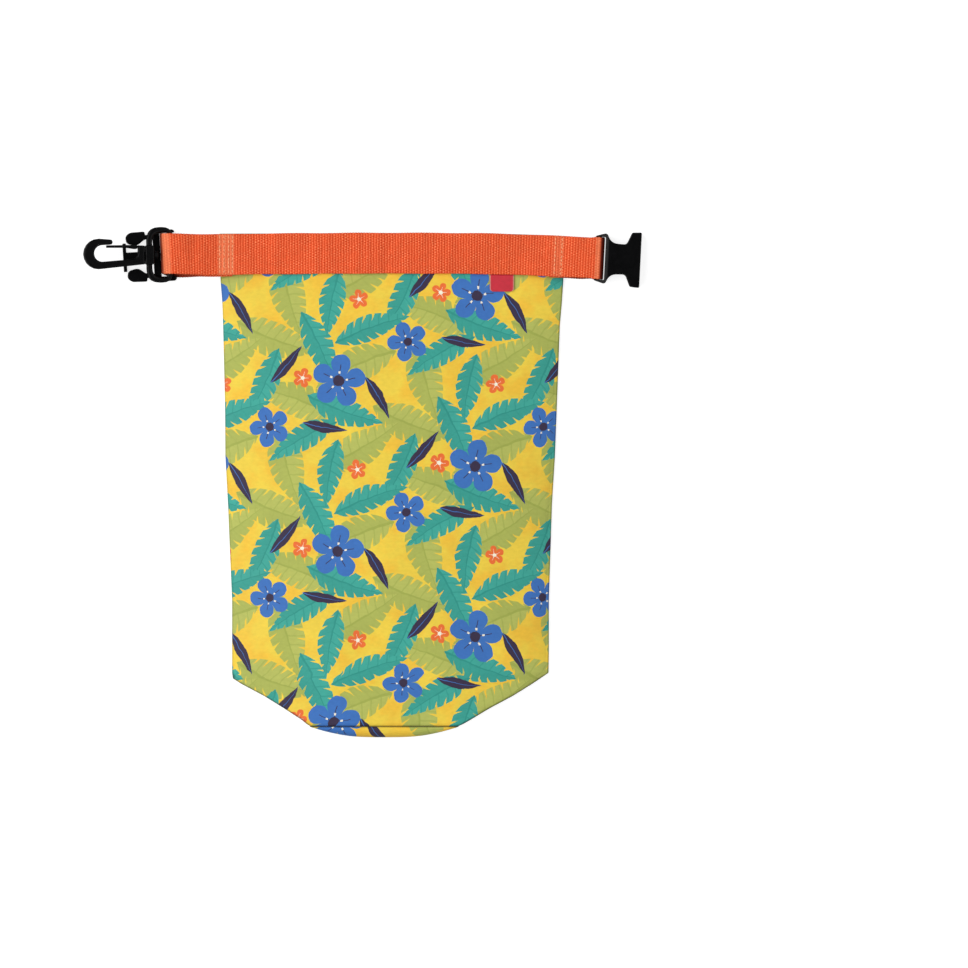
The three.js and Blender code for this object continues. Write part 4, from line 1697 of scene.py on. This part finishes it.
    def tails(self, line: Array) -> list[tuple[Array, Array]]:
        """For each tail, how low each point of the path lies for it, and how far past its loop it is.

        Args:
            line: The path as x and z.

        Returns:
            The drop and the distance past the loop, for the left tail and the right.
        """
        place = np.arange(len(line))[:, None] * self.step
        past = place[np.argmin(line[:, 0])] - place, place - place[np.argmax(line[:, 0])]
        return [(low * smooth_step(p, *reach), p) for (low, *reach), p in zip(self.tail_shift, past)]

    def painted_fold_shade(self, line: Array, ahead: Array) -> Array:
        """How deep in an end fold each point of the path lies, from 0 to 1, in one column.

        It grows with the steepness of the path, sooner at the right fold, whose back is in shade, and
        each tail is deep behind its loop.

        Args:
            line: The path as x and z.
            ahead: Its direction at each point.

        Returns:
            The depth at each point.
        """
        # Painted shade where an end fold turns away from the light, and on each tail behind its loop
        steep = np.abs(ahead[:, 1:])
        right = smooth_step(steep, *self.right_steep) * (line[:, :1] > self.right_eye[0])
        left = smooth_step(steep, *self.left_steep) * (line[:, :1] < self.left_eye[0])
        behind = [hump(past, *self.tail_shade) for _, past in self.tails(line)]
        in_left, in_right, in_tail = self.fold_shades
        return np.maximum(in_right * right + in_left * left, in_tail * sum(behind))

    def web_surface(self) -> Surface:
        """The webbing: a flat profile with round edges, carried along the path.

        The outer face swells with the ribs, their knots and the pits between them, by the same formula
        as the webbing's finish. The edges scallop with the ribs. Each tail lies a little lower than the
        front layer, which it reaches by a smooth step round its loop.

        Returns:
            The closed surface, with its flat places, its sewn bands and its folds.
        """
        line = self.path()
        x = line[:, :1]
        run = (np.arange(len(line)) * np.linalg.norm(line[1] - line[0]))[:, None]
        ahead = np.gradient(line, axis=0)
        ahead /= np.linalg.norm(ahead, axis=1, keepdims=True)
        half, radius = self.width / 2, self.thick / 2
        flat, turn = half - radius, np.pi * np.linspace(0, 1, 6)[1:-1]
        outer, inner = np.linspace(-flat, flat, 55), np.linspace(flat, -flat, 19)
        rim, fall = flat + radius * np.sin(turn), radius * np.cos(turn)
        across = np.concatenate([outer, rim, inner, -rim])[None, :]
        lift = [np.full(len(outer), radius), fall, np.full(len(inner), -radius), -fall]
        lift = np.concatenate(lift)[None, :]
        rib = math.tau * run / WEB_RIB
        rows = np.sin(rib / 2) + KNOT_SHARE * np.cos(rib / 2)
        pits = self.pit_depth * rows * np.cos(math.tau * across / WEB_PIT)
        swell = WEB_DEPTH * (RIB_RISE * np.cos(rib) + pits - 0.5)
        height = lift + (swell - self.pull * np.minimum(self.sewn_and_lit(x), 1)) * (lift > 0)
        edge = smooth_step(np.abs(across), half - self.edge_reach, half) * np.sign(across)
        scallop = edge * (self.scallop * np.cos(rib) + self.edge_stray * np.sin(run / self.edge_swing))
        (left_drop, past_left), (right_drop, _) = self.tails(line)
        curl = (1 - smooth_step(x, *self.curl_end)) * (1 - smooth_step(past_left, 0.0, self.curl_fade))
        curl = self.curling * curl * (0.5 - across / self.width)
        start, full = (self.right_eye[0] - before for before in self.crowd_reach)
        wide = 1 + self.crowding * smooth_step(x, start, full)
        sag = self.sag * hump(past_left, *self.sag_reach)
        aside = across * wide + scallop + curl - left_drop - right_drop - sag
        points = np.stack([x - ahead[:, 1:] * height, aside, line[:, 1:] + ahead[:, :1] * height], axis=-1)
        girth = np.cumsum(np.hypot(np.diff(across[0]), np.diff(lift[0])))
        girth = np.concatenate([[0], girth, [girth[-1] + girth[0]]])
        places = np.stack(np.broadcast_arrays(run, girth[None, :] - half), axis=-1) * MM
        # Marks: the paler sewn bands with the painted highlights over the bars, and the painted shade in the
        # end folds
        sewn_and_lit = self.sewn_and_lit(x) * self.front_rows(line)[:, None] * (lift > 0)
        marks = {"sewn_and_lit": sewn_and_lit, "painted_fold_shade": self.painted_fold_shade(line, ahead) + np.zeros_like(sewn_and_lit)}
        return capped_tube(self.bend(points), places, marks)

    def stitches(self) -> Surface:
        """Rows of stitches across the strap, whose ends wander a little from an even row.

        Returns:
            The stitches as one surface.
        """
        line = self.path()
        front = line[self.front_rows(line)]
        count, length, margin = 9, 2.05, 1.2  # stitches of a row, their length and the row's margins
        sunk, wander = 0.3, 0.3  # how deep their ends sit in the webbing, and how far they stray
        y = np.linspace(margin - self.width / 2, self.width / 2 - margin - length, count)
        x, y = np.meshgrid(np.array(self.seams), y, indexing="ij")
        stray = wander * np.sin(2.3 * x + 1.7 * y)
        z = np.interp(x, front[:, 0], front[:, 1]) + self.thick / 2 - sunk
        starts = np.stack([x + stray, y + stray, z], axis=-1).reshape(-1, 3)
        ends = np.stack([x - stray, y + stray + length, z], axis=-1).reshape(-1, 3)
        return stitch_rows(self.bend(starts), self.bend(ends), self.thread, self.arch)

    def build(self, axes: DrawingAxes) -> None:
        """Builds and dresses the webbing and its stitches.

        Args:
            axes: Where the drawing lies in the frame.
        """
        webbing, thread = [WovenWebbing().material()], [SewingThread().material()]
        make_piece("strap_webbing", self.web_surface(), axes, webbing, "closure_strap")
        make_piece("strap_stitches", self.stitches(), axes, thread)


@dataclass
class LabelTab:
    """The small red cloth tab that hangs out from under the strap.

    Attributes:
        cloth: The bag that it lies on.
        x: Its middle.
        width: Its width.
        top: Y of its upper end, under the strap.
        bottom: Y of its lower end.
        thick: Its thickness.
        corner: Rounding of its lower corners.
        soft: Rounding of its edges.
        gap: Clearance from the bag.
        rim: Width of the pale rim along each side.
        ridge: How far the rim stands up.
        thin_share: Its thickness under the strap, as a share.
        strap_edge: Between which distances below the strap's middle line it gets its full thickness.
    """

    cloth: BagCloth
    x: float = 67.4
    width: float = 14.8
    top: float = -12.3
    bottom: float = -23.0
    thick: float = 0.8
    corner: float = 2.3
    soft: float = 0.4
    gap: float = 0.1
    rim: float = 0.6
    ridge: float = 0.12
    thin_share: float = 0.25
    strap_edge: tuple[float, float] = (12.5, 13.4)

    def surface(self) -> Surface:
        """The tab as flat rings, from under the strap to its rounded lower end.

        At a distance d from its outline, half the thickness is the half thickness times
        sqrt(1 - (1 - d / soft)^2), full beyond the soft edge, so its rim is round. It is thin where the
        strap lies on it.

        Returns:
            The closed surface, with flat places and a mask of its rim.
        """
        rows, columns = 60, 61
        down = np.sin(np.linspace(0, np.pi / 2, rows))[:, None] ** 0.9
        y = self.top + (self.bottom + 0.01 - self.top) * down
        past = np.clip(self.bottom + self.corner - y, 0, self.corner)
        inset = self.corner - np.sqrt(self.corner**2 - past**2)
        half = self.width / 2 - inset
        share = np.sin(np.linspace(-np.pi / 2, np.pi / 2, columns))[None, :]
        side = half * (1 - np.abs(share)) + inset * 0.3
        x, y = np.broadcast_arrays(self.x + half * share, y)
        distance = np.minimum(side, y - self.bottom)
        rounded = np.sqrt(np.clip(1 - (1 - np.clip(distance / self.soft, 0, 1)) ** 2, 0.02, 1))
        thin = self.thin_share + (1 - self.thin_share) * smooth_step(-y, *self.strap_edge)
        half_thick = self.thick / 2 * thin
        rim = 1 - smooth_step(side, self.rim * 0.8, self.rim * 1.2)
        ground = self.cloth.front_at(x, y) + self.gap + half_thick
        upper = np.stack([x, y, ground + half_thick * rounded + self.ridge * rim * thin], axis=-1)
        lower = np.stack([x, y, ground - half_thick * rounded], axis=-1)
        rings = np.concatenate([upper, lower[:, ::-1]], axis=1)
        flat = np.concatenate([rings, rings[:, :1]], axis=1)[..., :2] * MM
        return capped_tube(rings, flat, {"rim": np.concatenate([rim, rim[:, ::-1]], axis=1)})

    def build(self, axes: DrawingAxes) -> Piece:
        """Builds and dresses the tab.

        Args:
            axes: Where the drawing lies in the frame.

        Returns:
            The tab.
        """
        finishes = [LabelCloth().material()]
        return make_piece("red_tab", self.surface(), axes, finishes, "label_tab")


# The plastic hardware


@dataclass
class Mouldings:
    """The buckle halves, the loop, the hook and its gate, with the soft edges of moulded plastic.

    Attributes:
        weld: How close the corners of a drawn solid's triangles are that get joined.
        rounds: How many times a recast surface is smoothed.
        parts: For each moulding its drawn solid, name, body and the size of the cells that it is recast in.
    """

    weld: float = 0.002
    rounds: int = 7
    parts: tuple[tuple[str, str, Body, float], ...] = (
        ("female_buckle", "buckle_socket", Body.BAG, 0.24),
        ("male_buckle", "buckle_plug", Body.BAG, 0.22),
        ("hook_loop", "swivel_loop", Body.BAG, 0.2),
        ("snap_hook", "swivel_hook", Body.HOOK, 0.18),
        ("hook_gate", "sprung_gate", Body.GATE, 0.09),
    )

    def recast(self, solid: Piece, name: str, cell: float) -> Piece:
        """Recasts a drawn solid as an even fine mesh, smoothed so that its edges are rounded.

        Args:
            solid: The drawn solid.
            name: The new piece's name.
            cell: Size of the mesh's cells.

        Returns:
            The piece, not yet in the scene.
        """
        welded = bmesh.new()
        welded.from_mesh(solid.data)
        bmesh.ops.remove_doubles(welded, verts=welded.verts, dist=self.weld * MM)
        rough = bpy.data.meshes.new("rough")
        welded.to_mesh(rough)
        welded.free()
        blank = bpy.data.objects.new("blank", rough)
        bpy.context.scene.collection.objects.link(blank)
        cast = blank.modifiers.new("cast", "REMESH")
        cast.mode, cast.voxel_size, cast.use_smooth_shade = "VOXEL", cell * MM, True
        soft = blank.modifiers.new("soft", "SMOOTH")
        soft.factor, soft.iterations = 0.5, self.rounds
        bpy.context.view_layer.update()
        shaped = blank.evaluated_get(bpy.context.evaluated_depsgraph_get())
        mesh = bpy.data.meshes.new_from_object(shaped)
        mesh.name = name
        mesh.materials.clear()
        bpy.data.objects.remove(blank)
        bpy.data.meshes.remove(rough)
        return bpy.data.objects.new(name, mesh)

    def build(self, solids: dict[str, Piece]) -> None:
        """Recasts and dresses every moulding.

        Args:
            solids: The drawn solids by name.
        """
        finishes = [MouldedPlastic().material()]
        for solid, name, body, cell in self.parts:
            piece = self.recast(solids[solid], name, cell)
            dress(piece, finishes, body, solid)


# The studio


@dataclass
class Studio:
    """The camera straight above, a pale floor and soft light from four sides.

    Attributes:
        frame_width: Width of the picture on the strap's level.
        frame_x: Middle of the picture across.
        frame_y: Middle of the picture up.
        level: Height of the strap above the floor.
        height: Height of the camera.
        floor_size: Width of the floor.
        sky: Brightness of the surroundings.
        spread: How broad each lamp is seen from the bag, in degrees.
        lamps: Direction, height above the horizon, both in degrees, and strength of each lamp.
    """

    frame_width: float = 590.5
    frame_x: float = 56.5
    frame_y: float = -140.3
    level: float = 4.0
    height: float = 8000.0
    floor_size: float = 6000.0
    sky: float = 0.1
    spread: float = 50.0
    lamps: tuple[tuple[float, float, float], ...] = (
        (30, 42, 0.6),
        (150, 42, 1.75),
        (210, 42, 1.3),
        (330, 42, 0.6),
    )

    def place(self, name: str, data: bpy.types.ID) -> Piece:
        """Puts a camera, lamp or mesh into the scene.

        Args:
            name: The object's name.
            data: The camera, lamp or mesh.

        Returns:
            The object.
        """
        thing = bpy.data.objects.new(name, data)
        bpy.context.scene.collection.objects.link(thing)
        return thing

    def camera(self, axes: DrawingAxes) -> None:
        """Makes the camera, whose lens takes in the picture's width at the strap's level.

        Args:
            axes: Where the drawing lies in the frame.
        """
        data = bpy.data.cameras.new("camera")
        data.sensor_width = 36.0
        data.lens = data.sensor_width * (self.height - self.level) / self.frame_width
        data.clip_end = 20.0
        camera = self.place("camera", data)
        camera.location = axes.to_frame(np.array([self.frame_x, self.frame_y, self.height]))
        bpy.context.scene.camera = camera

    def floor(self) -> None:
        """Makes the floor, a square sheet just under the bag."""
        half = self.floor_size / 2 * MM
        corners = [(-half, -half, 0.0), (half, -half, 0.0), (half, half, 0.0), (-half, half, 0.0)]
        mesh = bpy.data.meshes.new("floor")
        mesh.from_pydata(corners, [], [(0, 1, 2, 3)])
        mesh.materials.append(FloorPaint().material())
        self.place("floor", mesh)

    def light(self) -> None:
        """Makes the pale surroundings and a broad lamp on each side."""
        world = bpy.data.worlds.new("studio")
        world.use_nodes = True
        world.node_tree.nodes["Background"].inputs["Strength"].default_value = self.sky
        world.node_tree.nodes["Background"].inputs["Color"].default_value = (1.0, 1.0, 1.0, 1.0)
        bpy.context.scene.world = world
        for side, (turn, rise, strength) in enumerate(self.lamps):
            data = bpy.data.lights.new(f"lamp_{side}", "SUN")
            data.energy, data.angle = strength, math.radians(self.spread)
            lamp = self.place(f"lamp_{side}", data)
            lamp.rotation_euler = (math.radians(90 - rise), 0.0, math.radians(turn + 90))

    def build(self, axes: DrawingAxes) -> None:
        """Makes the whole studio, with colours shown as they are.

        Args:
            axes: Where the drawing lies in the frame.
        """
        self.camera(axes)
        self.floor()
        self.light()
        bpy.context.scene.view_settings.view_transform = "Standard"


def main() -> None:
    """Loads the frame, builds each sub-assembly around it and writes both sizes."""
    logging.basicConfig(level=logging.INFO, format="%(name)s: %(message)s")
    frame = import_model()
    low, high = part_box("bag_body")
    cloth = BagCloth()
    axes = DrawingAxes(low.x / MM + SECTIONS[0].left, high.y / MM - cloth.mouth)
    Studio().build(axes)
    body, base = cloth.build(axes)
    ClosureStrap(cloth).build(axes)
    tab = LabelTab(cloth).build(axes)
    Mouldings().build(frame["nodes"])


if __name__ == "__main__":
    main()
